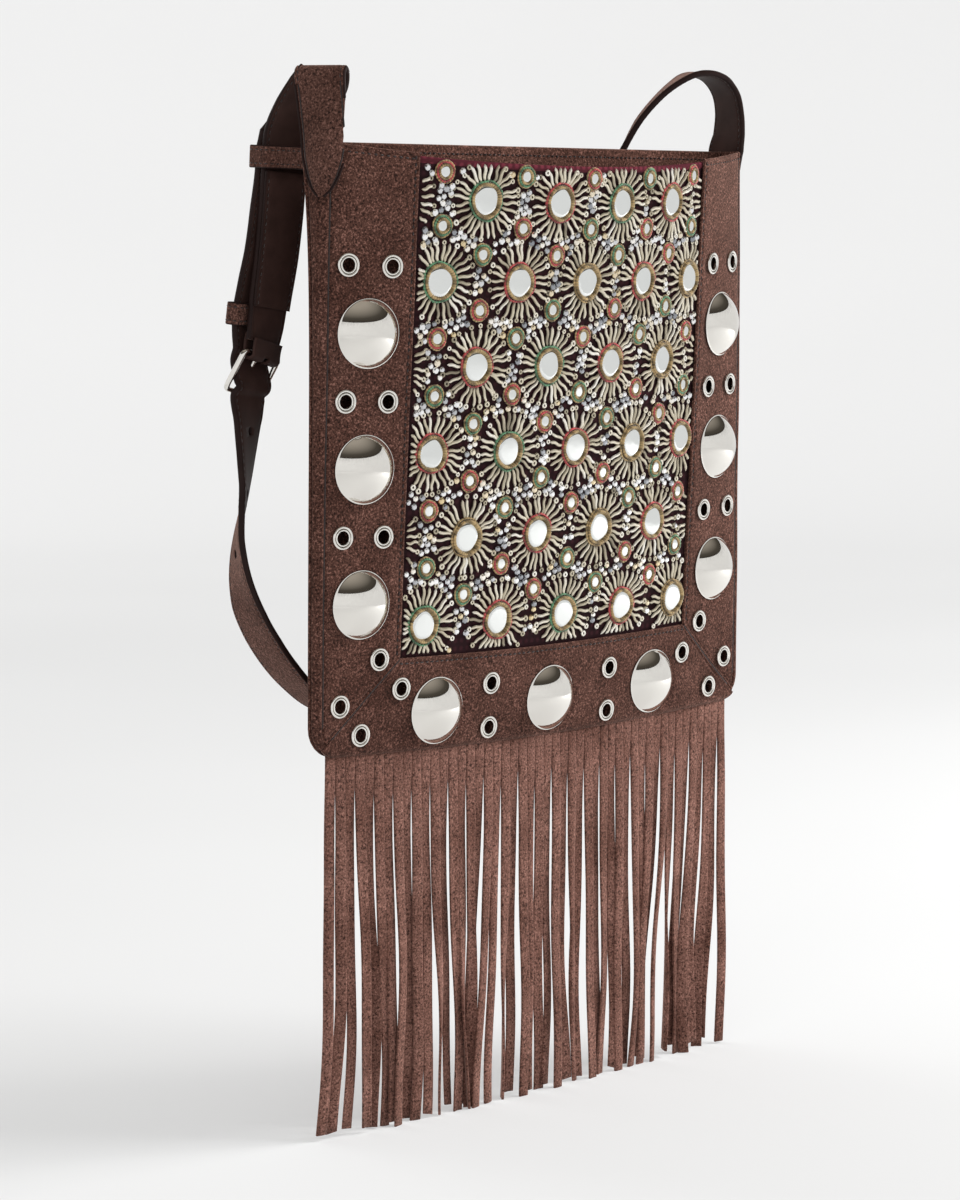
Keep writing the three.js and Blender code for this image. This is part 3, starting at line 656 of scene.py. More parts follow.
def waves(u, z):
    """Soft unevenness of hand-cut leather, about a quarter of a millimetre."""
    return 0.16 * np.sin(0.11 * u + 0.045 * z) + 0.12 * np.sin(0.083 * z - 0.06 * u + 1.0)


def rounded(distance, radius=0.7):
    """Share of the thickness left at a distance from a cut edge: a quarter circle."""
    inside = 1 - np.clip(distance / radius, 0, 1)
    return np.sqrt(np.maximum(1 - inside ** 2, 0.02))


def leather_strip(piece, u, z, borders, turned):
    """A front strip of suede on a grid of u and z. borders are its distances from the cut edges, whose
    corners are rounded; turned is the distance from the seam with the side, where it rolls back."""
    for hole_u, hole_z in EYELETS:
        radius = EYELET_HOLE + 1.1
        away = np.hypot(u - hole_u, z - hole_z)
        close = np.abs(away - radius) < 0.75
        share = np.where(close, radius / np.maximum(away, 0.1), 1.0)
        u = hole_u + (u - hole_u) * share
        z = hole_z + (z - hole_z) * share
    middle_u = (u[:-1, :-1] + u[1:, :-1] + u[1:, 1:] + u[:-1, 1:]) / 4
    middle_z = (z[:-1, :-1] + z[1:, :-1] + z[1:, 1:] + z[:-1, 1:]) / 4
    holes = [np.hypot(middle_u - a, middle_z - b) > EYELET_HOLE + 1.05 for a, b in EYELETS]
    nearest = np.minimum.reduce([*borders, turned])
    half = SUEDE / 2 * rounded(nearest)
    sewn = sum(0.4 * np.exp(-((border - STITCH_INSET) / 0.7) ** 2) for border in borders)
    sewn = sewn + 0.9 * np.exp(-((turned - SEAM_INSET) / 0.45) ** 2)
    roll = 1.7 * (1 - np.clip(turned / 3.0, 0, 1)) ** 2
    depth = SUEDE / 2 + roll + near_stud(u, z) + waves(u, z)
    front = front_at(u, z, depth - half + sewn)
    back = front_at(u, z, depth + half)
    piece.slab(front, back, np.logical_and.reduce(holes))


def stitch_row(piece, path, out, sizes, kind=0, width=0.8):
    """Stitches along a path: each is a short rod whose ends dip into the leather."""
    lengths = np.concatenate([[0], np.cumsum(np.linalg.norm(np.diff(path, axis=0), axis=1))])
    count = int(lengths[-1] / sizes.stitch_pitch)
    if count < 1:
        return
    start = (np.arange(count) + 0.5) * lengths[-1] / count
    along = start[:, None] + np.linspace(-0.5, 0.5, 5) * sizes.stitch_length
    points = stack(*[np.interp(along, lengths, path[:, k]) for k in range(3)])
    normals = unit(stack(*[np.interp(along, lengths, out[:, k]) for k in range(3)]))
    lift = np.array([-0.3, 0.08, 0.16, 0.08, -0.3])
    size = np.array([0.02, 0.9, 1.0, 0.9, 0.02]) * width / 2
    points = points + normals * lift[:, None]
    size = np.broadcast_to(size, along.shape)
    piece.grid(rod(points, normals, size, size, 5), (False, True), kind)


def front_stitches(piece, u, z, sizes):
    """Stitches on the front strips along a line of u and z."""
    path, axes = front_frame(u, z, near_stud(u, z) + waves(u, z) + 0.34)
    stitch_row(piece, path, axes[:, 2], sizes)


class BAG_OT_front(bpy.types.Operator):
    """Makes the three suede strips of the front, mitred at the bottom corners, and their stitches"""

    bl_idname = "bag.front"
    bl_label = "Front leather"

    def execute(self, context):
        sizes = context.scene.bag_sizes
        share = graded(SIDE_STRIP_WIDTH, 34)
        for name, side in (("front_left", -1), ("front_right", 1)):
            heights = np.concatenate([np.linspace(MITRE_TIP, 14, 12), np.linspace(15.2, HEIGHT - 5.2, 200),
                                      HEIGHT - NEAR_EDGE])
            z = np.broadcast_to(heights[:, None], (len(heights), len(share)))
            inner = mitre_distance(z) + MITRE_GAP / 2
            outer = edge_distance(z)
            distance = mix(inner, outer, share)
            piece = Piece(name)
            leather_strip(piece, side * distance, z, [distance - inner, HEIGHT - z], outer - distance)
            piece.finish([MATERIALS["suede"]], ["front_strip_" + name[6:]])
        heights = np.concatenate([[0, 0.3, 0.7, 1.2, 1.8, 2.6],
                                  np.linspace(3.6, BOTTOM_STRIP_HEIGHT - 4.6, 28),
                                  BOTTOM_STRIP_HEIGHT - NEAR_EDGE])
        share = graded(2 * WINDOW_HALF, 190)
        z = np.broadcast_to(heights[:, None], (len(heights), len(share)))
        reach = np.minimum(mitre_distance(z) - MITRE_GAP / 2, edge_distance(z))
        u = mix(-reach, reach, share)
        piece = Piece("front_bottom")
        side = np.minimum(reach - u, reach + u)
        leather_strip(piece, u, z, [BOTTOM_STRIP_HEIGHT - z, side + 20 * (z < CORNER_RADIUS)],
                      np.where(z < SEAM_INSET - 2, z + 0.01, SEAM_INSET + 4 + z))
        piece.finish([MATERIALS["suede"]], ["front_strip_bottom"])
        seams = Piece("front_stitching")
        for side in (-1, 1):
            rise = np.linspace(BOTTOM_STRIP_HEIGHT + 1, HEIGHT - 1, 200)
            front_stitches(seams, side * (WINDOW_HALF + STITCH_INSET) + 0 * rise, rise, sizes)
            across = np.linspace(WINDOW_HALF + STITCH_INSET, HALF_WIDTH - 2, 40)
            front_stitches(seams, side * across, 0 * across + HEIGHT - 3.2, sizes)
        across = np.linspace(-WINDOW_HALF - 1, WINDOW_HALF + 1, 160)
        front_stitches(seams, across, 0 * across + BOTTOM_STRIP_HEIGHT - STITCH_INSET, sizes)
        # Continuous dark rods in the thread's colour: painted shade in the side seam's groove, where its
        # thread lies, and in the gaps along the mitres' cut edges.
        for side in (-1, 1):
            rise = np.linspace(CORNER_RADIUS, HEIGHT - 2, 160)
            self.line(seams, side * (edge_distance(rise) - SEAM_INSET), rise, 0.5)
            rise = np.linspace(MITRE_TIP + 4, BOTTOM_STRIP_HEIGHT - 0.4, 60)
            self.line(seams, side * mitre_distance(rise), rise, 0.25)
        seams.finish([MATERIALS["stitch"]])
        return {"FINISHED"}

    def line(self, piece, u, z, depth):
        """A continuous thin dark rod along a line on the front, at a depth: painted shade in a groove or gap.
        """
        path, axes = front_frame(u, z, depth + waves(u, z))
        size = np.full(len(path), 0.42)
        size[[0, -1]] = 0.02
        piece.grid(rod(path, axes[:, 2], size, 0.8 * size, 6), (False, True))


class BAG_OT_back(bpy.types.Operator):
    """Makes the plain suede back and the two side walls"""

    bl_idname = "bag.back"
    bl_label = "Back and sides"

    def execute(self, context):
        sizes = context.scene.bag_sizes
        heights = np.concatenate([[0, 0.4, 1.0, 2.0, 4.0, 7.0, 10.0, 13.0], np.linspace(16, HEIGHT - 7, 110),
                                  HEIGHT - np.array([5.2, 4.0, 3.0, 2.0, 1.2, 0.6, 0.0])])
        share = graded(2 * HALF_WIDTH, 110) * 2 - 1
        z = np.broadcast_to(heights[:, None], (len(heights), len(share)))
        wide = share * edge_distance(z) / HALF_WIDTH
        border = np.minimum.reduce([(1 - np.abs(share)) * HALF_WIDTH + 0 * z, HEIGHT - z, z])
        half = SUEDE / 2 * rounded(border)
        sewn = 0.22 * np.exp(-((border - BACK_STITCH_INSET) / 0.6) ** 2)
        ripple = 0.5 * waves(140 * share, z) * np.clip(border / 10, 0, 1)
        piece = Piece("back_leather")
        inside = back_at(wide, z, SUEDE / 2 - half + ripple)
        outside = back_at(wide, z, SUEDE / 2 + half - sewn + ripple)
        piece.slab(inside, outside)
        piece.finish([MATERIALS["suede"]], ["back_panel"])
        for name, side in (("side_left", -1), ("side_right", 1)):
            rise = np.linspace(CORNER_RADIUS, HEIGHT, 170)[:, None]
            deep = graded(10.0, 6, (0.0, 0.3, 0.7, 1.2, 2.0))
            y = mix(SUEDE + GAP, back_edge_depth(rise) - GAP, deep)
            border = np.minimum(y - SUEDE - GAP, back_edge_depth(rise) - GAP - y)
            border = np.minimum(border, HEIGHT - rise)
            sink = 0.8 * (1 - np.clip(border / 1.6, 0, 1)) ** 2
            crease = 0.35 * np.sin(0.09 * rise + 0.8) * np.clip(border / 3, 0, 1)
            half = SUEDE / 2 * rounded(border, 0.5)
            middle = half_chord(rise) - SUEDE / 2 - sink - np.abs(crease)
            piece = Piece(name)
            piece.slab(stack(side * (middle + half), y, rise), stack(side * (middle - half), y, rise))
            piece.finish([MATERIALS["suede"]], ["gusset_" + name[5:]])
        seams = Piece("back_stitching")
        ends = HALF_WIDTH - BACK_STITCH_INSET
        rise = np.linspace(14, HEIGHT - BACK_STITCH_INSET, 150)
        lines = [(0 * rise - ends, rise), (0 * rise + ends, rise)]
        across = np.linspace(-ends, ends, 150)
        lines.append((across, 0 * across + HEIGHT - BACK_STITCH_INSET))
        for face, depth in ((1, SUEDE - 0.15), (-1, 0.0)):
            for x, height in lines[2 if face < 0 else 0:]:
                path = back_at(x / HALF_WIDTH, height, depth)
                out = np.broadcast_to(np.array([0.0, face, 0.0]), path.shape)
                stitch_row(seams, path, out, sizes)
        seams.finish([MATERIALS["stitch"]])
        return {"FINISHED"}


def sun_places():
    """Lattice of suns (u, z, row, number in the row), those beyond the window's sides included, and of
    the rosettes in the middles of its triangles. The lattice is shifted sideways by a parabola across
    the window, as the sewn one is."""
    suns, rosettes = [], []
    for row in range(-1, MIRROR_ROWS + 1):
        z = HEIGHT - FIRST_ROW - row * ROW_PITCH
        shift = COLUMN_PITCH / 2 if row % 2 == 0 else 0.0
        for column in range(-4, 4):
            even = column * COLUMN_PITCH + shift
            u = even + mix(EDGE_SHIFT, MIDDLE_SHIFT, 1 - (even / WINDOW_HALF) ** 2)
            if 0 <= row < MIRROR_ROWS:
                suns.append((u, z, row, column))
            for level, offset in ((2 * row, ROSETTE_BELOW), (2 * row + 1, -ROSETTE_BELOW)):
                rosettes.append((u, z + offset, level, column))
    return np.array(suns), np.array(rosettes)


SUNS, ROSETTES = sun_places()
SUN_THREADS = ("grgr", "groro", "rgro", "rgror", "oror", "grgro")


def in_window(u, z, margin):
    """Whether places lie inside the cloth window by more than a margin."""
    level = (z > BOTTOM_STRIP_HEIGHT + margin) & (z < HEIGHT - WINDOW_TOP_LAP - margin)
    return (np.abs(u) < WINDOW_HALF - margin) & level


def within_window(centre, outward, near, far):
    """Cuts rays from near to far along outward to the part inside the window, as a box is cut by slabs:
    a ray is inside from the last side it enters to the first that it leaves."""
    low = np.array([-WINDOW_HALF, BOTTOM_STRIP_HEIGHT]) + 1.2
    high = np.array([WINDOW_HALF, HEIGHT - WINDOW_TOP_LAP]) - 1.2
    slope = np.where(np.abs(outward) < 1e-6, 1e-6, outward)
    sides = np.stack([(low - centre) / slope, (high - centre) / slope])
    return np.maximum(near, sides.min(0).max(-1)), np.minimum(far, sides.max(0).min(-1))


def ring(u, z, radius, half_width, half_height, height, around, sections, wobble, rng):
    """Rings of thread that lie on the cloth: an ellipse carried round a slightly uneven circle."""
    angle = np.arange(around) * 2 * np.pi / around
    phase = rng.uniform(0, 2 * np.pi, len(u))[:, None]
    away = radius + wobble * np.sin(3 * angle + phase) + 0.5 * wobble * np.sin(7 * angle + 2 * phase)
    turn = np.arange(sections) * 2 * np.pi / sections
    wrap = 1 + 0.16 * np.where(np.arange(around) % 2 == 0, 1, -1)[:, None]
    reach = away[..., None] + half_width * wrap * np.cos(turn)
    local = stack(reach * np.cos(angle)[:, None], reach * np.sin(angle)[:, None],
                  height + half_height * wrap * np.sin(turn) + 0 * reach)
    return on_front(u, z, CLOTH_FACE, local)


def wraps(around, rng, count):
    """Tone of a ring's wraps: the valleys between them get painted shade, and some wraps are darker than
    others at random.
    """
    shade = np.where(np.arange(around) % 2 == 0, 0.0, 0.5)
    return np.clip(shade + rng.normal(0, 0.16, (count, around)), 0, 1)[:, :, None]


class BAG_OT_cloth(bpy.types.Operator):
    """Makes the dark ground cloth of the window, with its turned hem along the top"""

    bl_idname = "bag.cloth"
    bl_label = "Ground cloth"

    def execute(self, context):
        u = np.linspace(-WINDOW_HALF - CLOTH_LAP, WINDOW_HALF + CLOTH_LAP, 120)
        low = BOTTOM_STRIP_HEIGHT - CLOTH_LAP
        high = HEIGHT - HEM_DROP
        z = np.concatenate([np.linspace(low, high - 5, 120), high - np.array([4.4, 3.2, 2.2, 1.2, 0.5, 0.0])])
        z = z[:, None]
        padded = 0.55 * smooth((z - high + HEM_HEIGHT) / 1.2)
        soft = 0.22 * np.sin(u * 0.31 + 0.2 * z) * np.sin(0.27 * z)
        half = CLOTH / 2 * rounded(high - z, 0.9)
        middle = CLOTH_FACE + CLOTH / 2
        front = front_at(u, z, middle - half - padded + soft * (padded < 0.01))
        back = front_at(u, z, middle + half)
        piece = Piece("ground_cloth")
        piece.slab(front, back)
        cloth = piece.finish([MATERIALS["cloth"], MATERIALS["hem"]],
                             ["embroidered_panel"])
        centres = np.empty(len(cloth.data.polygons) * 3, np.float32)
        cloth.data.polygons.foreach_get("center", centres)
        across, _, height = centres.reshape(-1, 3).T
        hem_line = placed(front_at(across * PER_METRE, high - HEM_HEIGHT))[..., 2]
        cloth.data.polygons.foreach_set("material_index", (height > hem_line).astype(np.int32))
        return {"FINISHED"}


class BAG_OT_mirrors(bpy.types.Operator):
    """Makes the round mirrors with their padded gold rings and coloured outer threads"""

    bl_idname = "bag.mirrors"
    bl_label = "Mirrors and rings"

    def execute(self, context):
        rng = np.random.default_rng(SEED)
        suns = SUNS[in_window(SUNS[:, 0], SUNS[:, 1], 8.3)]
        rosettes = ROSETTES[in_window(ROSETTES[:, 0], ROSETTES[:, 1], 3.2)]
        _, unique = np.unique(np.round(rosettes[:, :2], 1), axis=0, return_index=True)
        rosettes = rosettes[np.sort(unique)]
        glass = Piece("mirrors")
        gold = Piece("mirror_rings")
        for places, mirror, scale in ((suns, MIRROR_RADIUS, 1.0), (rosettes, ROSETTE_MIRROR, 0.5)):
            u, z = places[:, 0], places[:, 1]
            crown = 0.12 * scale
            edge = mirror + 0.5 * scale
            disc = [(0, GLASS_TOP + crown), (edge / 3, GLASS_TOP + 0.9 * crown),
                    (edge * 0.7, GLASS_TOP + 0.5 * crown), (edge, GLASS_TOP), (edge, 0.1), (0, 0.1)]
            local = lathe(disc, 36 if scale == 1 else 24) * [1, 1, scale ** 0.3]
            tilt = rng.normal(0, 0.022, (len(u), 2, 1, 1))
            leaned = np.broadcast_to(local, (len(u), *local.shape)).copy()
            leaned[..., 2] += tilt[:, 0] * local[..., 0] + tilt[:, 1] * local[..., 1]
            bearing = np.arange(local.shape[1]) * 2 * np.pi / local.shape[1]
            phase = rng.uniform(0, 2 * np.pi, (len(u), 1, 1))
            uneven = 1 + 0.035 * np.sin(3 * bearing + phase) + 0.02 * np.sin(5 * bearing + 2 * phase)
            leaned[..., :2] *= uneven[..., None]
            glass.grid(on_front(u, z, CLOTH_FACE, leaned), (False, True))
            thick = 0.82 if scale == 1 else 0.62
            around = 72 if scale == 1 else 40
            gold.grid(ring(u, z, mirror + thick, thick, 1.0 * scale ** 0.3, 1.25 * scale ** 0.3, around, 7,
                           0.14 * scale, rng), (True, True), 0, wraps(around, rng, len(u)))
            for kind, mark in ((1, "r"), (2, "g"), (0, "o")):
                chosen = np.array([self.thread(p, scale) == mark for p in places])
                gold.grid(ring(u[chosen], z[chosen], mirror + 2 * thick + 0.5, 0.55, 0.66, 0.8, around, 6,
                               0.3 * scale, rng), (True, True), kind, wraps(around, rng, chosen.sum()))
            if scale < 1:
                gold.grid(ring(u, z, mirror + 2 * thick + 1.25, 0.42, 0.5, 0.55, around, 6, 0.15, rng),
                          (True, True), 0, wraps(around, rng, len(u)))
        glass.finish([MATERIALS["mirror"]])
        gold.finish([MATERIALS[name] for name in ("gold", "red", "green")])
        return {"FINISHED"}

    @staticmethod
    def thread(place, scale):
        """Outer thread's colour, r, g or o for gold: from the row's list, or in turn on the rosettes."""
        level, column = int(place[2]), int(place[3])
        if scale == 1:
            names = SUN_THREADS[level]
            return names[(column + 2) % len(names)]
        return "rg"[(column + (level + 1) // 2) % 2]


class BAG_OT_rays(bpy.types.Operator):
    """Makes the wavy wire rays round the large mirrors, with a bead at each end"""

    bl_idname = "bag.rays"
    bl_label = "Rays and beads"

    def execute(self, context):
        sizes = context.scene.bag_sizes
        rng = np.random.default_rng(SEED + 1)
        count = sizes.ray_count
        suns = SUNS[np.abs(SUNS[:, 0]) < WINDOW_HALF + RAY_END - 3]
        total = len(suns) * count
        centre = np.repeat(suns[:, :2], count, axis=0)
        angle = np.tile(np.arange(count) * 2 * np.pi / count, len(suns)) + rng.normal(0, 0.03, total)
        angle += np.repeat(rng.uniform(0, 0.2, len(suns)), count)
        sideways = np.stack([-np.sin(angle), np.cos(angle)], -1)
        outward = np.stack([np.cos(angle), np.sin(angle)], -1)
        start, end = within_window(centre, outward, RAY_START, RAY_END + rng.normal(0, 0.5, total))
        long = end - start > SHORTEST_RAY
        centre, sideways, outward = centre[long], sideways[long], outward[long]
        start, end = start[long], end[long]
        length = end - start
        total = len(centre)
        bend = rng.uniform(0.35, 0.95, total) * np.where(rng.random(total) < 0.7, 1, -1)
        share = np.linspace(0, 1, 9)
        away = start[:, None] + length[:, None] * share
        bend = bend * np.minimum(length / 7, 1)
        sway = bend[:, None] * np.sin(2 * np.pi * share * 0.8 + 0.4)
        sway = sway * np.sin(np.pi * np.minimum(share + 0.12, 1))
        flat = away[..., None] * outward[:, None] + sway[..., None] * sideways[:, None]
        rise = 0.55 + 0.25 * np.sin(np.pi * share) + rng.uniform(0, 0.15, (total, 1))
        path = np.concatenate([flat, rise[..., None]], -1)
        taper = np.array([0.1, 0.85, 1, 1, 1, 1, 1, 0.95, 0.1])
        wide = taper * rng.uniform(0.7, 0.86, (total, 1))
        local = rod(path, np.array([0.0, 0.0, 1.0]), wide, 0.95 * wide, 7)
        rays = Piece("wire_rays")
        tone = np.clip(rng.normal(0.5, 0.2, (total, 1, 1)) + 0.3 * (share[:, None] - 0.5), 0, 1)
        rays.grid(on_front(centre[:, 0], centre[:, 1], CLOTH_FACE, local), (False, True), 0, tone)
        rays.finish([MATERIALS["wire"]])
        beads = Piece("ray_beads")
        half = sizes.bead / 2
        turn = np.arange(6) * 2 * np.pi / 6
        hole = 0.26 * half
        loop = np.stack([half - (half - hole) / 2 * (1 - np.cos(turn)), 0.75 + 0.62 * np.sin(turn)], -1)
        local = lathe(loop, 10)
        beyond = unit(path[:, -1, :2] - path[:, -2, :2]) * 0.55 * half
        at = centre + path[:, -1, :2] + beyond
        keep = in_window(at[:, 0], at[:, 1], 1.0) & (rng.random(total) < 0.9)
        at = at[keep]
        size = rng.uniform(0.72, 1.0, (len(at), 1, 1, 1))
        beads.grid(on_front(at[:, 0], at[:, 1], CLOTH_FACE, local * size), (True, True), 0,
                   rng.random((len(at), 1, 1)))
        beads.finish([MATERIALS["bead"]])
        return {"FINISHED"}


class BAG_OT_stones(bpy.types.Operator):
    """Fills the spaces between suns and rosettes with faceted round crystals"""

    bl_idname = "bag.stones"
    bl_label = "Crystals"

    def execute(self, context):
        sizes = context.scene.bag_sizes
        rng = np.random.default_rng(SEED + 2)
        pitch = sizes.stone
        columns, rows = np.meshgrid(np.arange(-50, 51), np.arange(-55, 56))
        along = (columns + 0.5 * (rows % 2)) * pitch
        above = rows * pitch * math.sqrt(0.75)
        # The lattice is turned, as stones filled in by eye make no level rows.
        turn = math.radians(19)
        u = along * math.cos(turn) - above * math.sin(turn)
        z = HEIGHT / 2 + along * math.sin(turn) + above * math.cos(turn)
        places = np.stack([u.ravel(), z.ravel()], -1) + rng.normal(0, 0.34, (u.size, 2))
        clear = in_window(places[:, 0], places[:, 1], sizes.stone / 2 - 0.2)
        sun_away = np.linalg.norm(places[:, None] - SUNS[None, :, :2], axis=2).min(1)
        rosette_away = np.linalg.norm(places[:, None] - ROSETTES[None, :, :2], axis=2).min(1)
        clear &= (sun_away > RAY_END + 1.5) & (rosette_away > ROSETTE_RADIUS + 1.3)
        clear &= rng.random(len(places)) < 0.93
        places = places[clear]
        radius = sizes.stone / 2
        cut = [(0, 1.65), (0.55 * radius, 1.6), (0.86 * radius, 1.15), (radius, 0.7), (0.9 * radius, 0.0),
               (0, 0.0)]
        size = rng.uniform(0.82, 1.04, (len(places), 1, 1, 1))
        turned = np.stack([lathe(cut, 8, phase) for phase in rng.uniform(0, 0.8, 12)])
        local = turned[np.arange(len(places)) % 12] * size
        stones = Piece("crystals")
        stones.grid(on_front(places[:, 0], places[:, 1], CLOTH_FACE, local), (False, True), 0,
                    rng.random((len(places), 1, 1)))
        stones.finish([MATERIALS["stone"]], flat=True)
        return {"FINISHED"}


class BAG_OT_metal(bpy.types.Operator):
    """Makes the polished dome studs and eyelets"""

    bl_idname = "bag.metal"
    bl_label = "Studs and eyelets"

    def execute(self, context):
        sphere = (DOME_RADIUS ** 2 + DOME_RISE ** 2) / (2 * DOME_RISE)
        reach = math.degrees(math.asin(DOME_RADIUS / sphere))
        outer = arc((0, DOME_RISE - sphere), sphere, 90, 90 - reach * 0.985, 22)
        rim = arc((DOME_RADIUS - 0.2, 0.15), 0.2, 40, -90, 5)
        inner = np.array([(DOME_RADIUS - 0.9, -0.1), (DOME_RADIUS - 1.2, 0.2), (2.5, DOME_RISE - 2.2),
                          (2.5, -1.8), (4.5, -1.8), (4.3, -2.5), (0, -2.6)])
        domes = Piece("dome_studs")
        domes.grid(on_front(DOMES[:, 0], DOMES[:, 1], 0.0, lathe(np.concatenate([outer, rim, inner]), 64)),
                   (False, True))
        domes.finish([MATERIALS["nickel"]], [f"dome_stud_{i}" for i in range(1, 10)])
        roll = arc((EYELET_RADIUS - 0.62, 0.45), 0.62, -60, 175, 12)
        groove = [(EYELET_RADIUS - 1.28, 0.1), (EYELET_HOLE + 0.98, 0.1)]
        throat = np.concatenate([groove, arc((EYELET_HOLE + 0.46, 0.55), 0.46, 10, 180, 8)])
        barrel = np.array([(EYELET_HOLE, -SUEDE - 0.8), (EYELET_HOLE + 1.4, -SUEDE - 1.0),
                           (EYELET_HOLE + 1.4, -SUEDE - 0.7), (EYELET_HOLE + 0.5, -SUEDE - 0.5),
                           (EYELET_HOLE + 0.5, -0.2), (EYELET_RADIUS - 0.6, -0.15)])
        eyelets = Piece("eyelets")
        profile = np.concatenate([roll, throat, barrel])
        # The rows at the groove between the rolled rim and the throat take the dark nickel: painted shade in
        # the groove.
        shaded = np.isin(np.arange(len(profile)), (len(roll) - 1, len(roll), len(roll) + 1)).astype(int)
        eyelets.grid(on_front(EYELETS[:, 0], EYELETS[:, 1], 0.0, lathe(profile, 36)), (True, True),
                     shaded[None, :, None])
        eyelets.finish([MATERIALS["nickel"], MATERIALS["groove_shade"]],
                       [f"eyelet_{i:02d}" for i in range(1, 25)])
        return {"FINISHED"}


class BAG_OT_fringe(bpy.types.Operator):
    """Makes the long suede strips of the fringe, which wander, turn and overlap as they hang"""

    bl_idname = "bag.fringe"
    bl_label = "Fringe"

    def execute(self, context):
        sizes = context.scene.bag_sizes
        rng = np.random.default_rng(SEED + 3)
        number = np.arange(FRINGE_COUNT)
        u = np.linspace(-FRINGE_HALF + FRINGE_WIDTH / 2, FRINGE_HALF - FRINGE_WIDTH / 2, FRINGE_COUNT)
        hang = np.linspace(0, 1, 34)[None, :]
        # Neighbours in a bunch lean the same way, and open gaps where two bunches part.
        bunch = np.cumsum(rng.random(FRINGE_COUNT) < 0.36)
        lean_of = rng.normal(0, 1.7, bunch[-1] + 1)[bunch]
        belly = rng.normal(0, 1.5, bunch[-1] + 1)[bunch]
        drift = (lean_of + rng.normal(0, 0.7, FRINGE_COUNT))[:, None] * sizes.fringe_sway
        belly = (belly + rng.normal(0, 0.3, FRINGE_COUNT))[:, None] * 0.9 * sizes.fringe_sway
        drift[:3] = np.array([-1.5, -1.0, -0.3])[:, None] * sizes.fringe_sway
        drift[-1] *= 0.2
        opened = smooth((hang - 0.08) * 1.25)
        wave = rng.uniform(0, 2 * np.pi, (FRINGE_COUNT, 1))
        sway = (drift * opened * hang + belly * opened * np.sin(np.pi * hang)
                + 0.85 * opened * np.sin(3.1 * np.pi * hang + wave))
        layer = (0.78 * np.where(number % 2 == 0, 1, -1))[:, None]
        deep = layer * smooth((hang - 0.01) * 4) + 2.2 * np.sin(1.7 * number)[:, None] * hang ** 1.5
        turn = rng.normal(0, 0.22, (FRINGE_COUNT, 1)) * smooth((hang - 0.1) * 2)
        curl = rng.random((FRINGE_COUNT, 1)) < 0.24
        turn = turn + curl * rng.choice([-1, 1], (FRINGE_COUNT, 1)) * 0.95 * smooth((hang - 0.3) * 1.7)
        length = (FRINGE_LENGTH + 2.2 * np.sin(number * 3.1) + rng.normal(0, 0.8, FRINGE_COUNT))[:, None]
        root = front_at(u, 0.0 * u, SUEDE + GAP + HEADER_THICKNESS / 2)
        middle = stack(root[:, None, 0] + sway, root[:, None, 1] + deep,
                       root[:, None, 2] + 1.5 - (length + 1.5) * hang)
        lean = bow_curvature(0.0) * u
        way = lean[:, None] + turn
        across = stack(np.cos(way), np.sin(way), 0 * way)
        through = stack(-np.sin(way), np.cos(way), 0 * way)
        width = (FRINGE_WIDTH * rng.uniform(0.95, 1.0, FRINGE_COUNT))[:, None, None]
        # A strip's section is a rectangle with round edges: half of it, then its turned copy.
        section = np.array([(-0.5, 0.0), (-0.485, 0.36), (-0.42, 0.5), (-0.14, 0.5), (0.14, 0.5), (0.42, 0.5),
                            (0.485, 0.36)])
        section = np.concatenate([section, -section])
        cup = 0.35 * (1 - (2 * section[:, 0]) ** 2) * rng.normal(0, 1, (FRINGE_COUNT, 1, 1))
        grid = (middle[:, :, None] + across[:, :, None] * (section[:, 0] * width)[..., None]
                + through[:, :, None] * (section[:, 1] * FRINGE_THICKNESS
                                         + cup * smooth(hang * 3)[..., None])[..., None])
        slant = rng.normal(0, 0.35, (FRINGE_COUNT, 1)) * (2 * section[:, 0])
        grid[:, -1, :, 2] += slant
        # The root closes to its middle, and the cut end to the line between its two faces.
        opposite = -np.arange(len(section)) % len(section)
        closed = [grid[:, :1].mean(2, keepdims=True) + 0 * grid[:, :1], grid,
                  0.5 * (grid[:, -1:] + grid[:, -1:, opposite])]
        strips = Piece("fringe_strips")
        strips.grid(np.concatenate(closed, 1), (False, True))
        strips.finish([MATERIALS["fringe"]], ["fringe"])
        return {"FINISHED"}


SHORT_ROUTE = (
    (-0.955, 0.137, 0.911, -66, 1, 0.04), (-0.955, 0.137, 0.923, -66, 1, 0.36),
    (-0.955, 0.137, 0.945, -66, 1, 0.66), (-0.955, 0.137, 0.974, -66, 1, 0.9),
    (-0.955, 0.137, 1.007, -66, 1, 1), (-0.955, 0.137, 1.04, -66, 0.6, 1),
    (-0.955, 0.137, 1.075, -66, 0.25, 1), (-0.955, 0.137, 1.1, -66, 0, 1),
    (-0.951, 0.145, 1.111, -66, 0, 1), (-0.94, 0.165, 1.1155, -66, 0, 1),
    (-0.929, 0.187, 1.111, -66, 0, 1), (-0.925, 0.21, 1.1, -65, 0, 1),
    (-0.928, 0.39, 1.077, -54, 0, 1), (-0.931, 0.6, 1.05, -36, 0, 1),
    (-0.934, 0.78, 1.02, -17, 0, 1), (-0.936, 0.865, 0.99, -5, 0, 1),
    (-0.939, 0.9, 0.945, 0, 0, 1), (-0.946, 0.914, 0.889, 0, 0, 1),
    (-0.963, 0.923, 0.815, 2, 0, 1), (-0.984, 0.937, 0.749, 6, 0, 1),
    (-0.996, 0.951, 0.7, 10, 0, 1), (-1.004, 0.963, 0.674, 14, 0, 1),
)

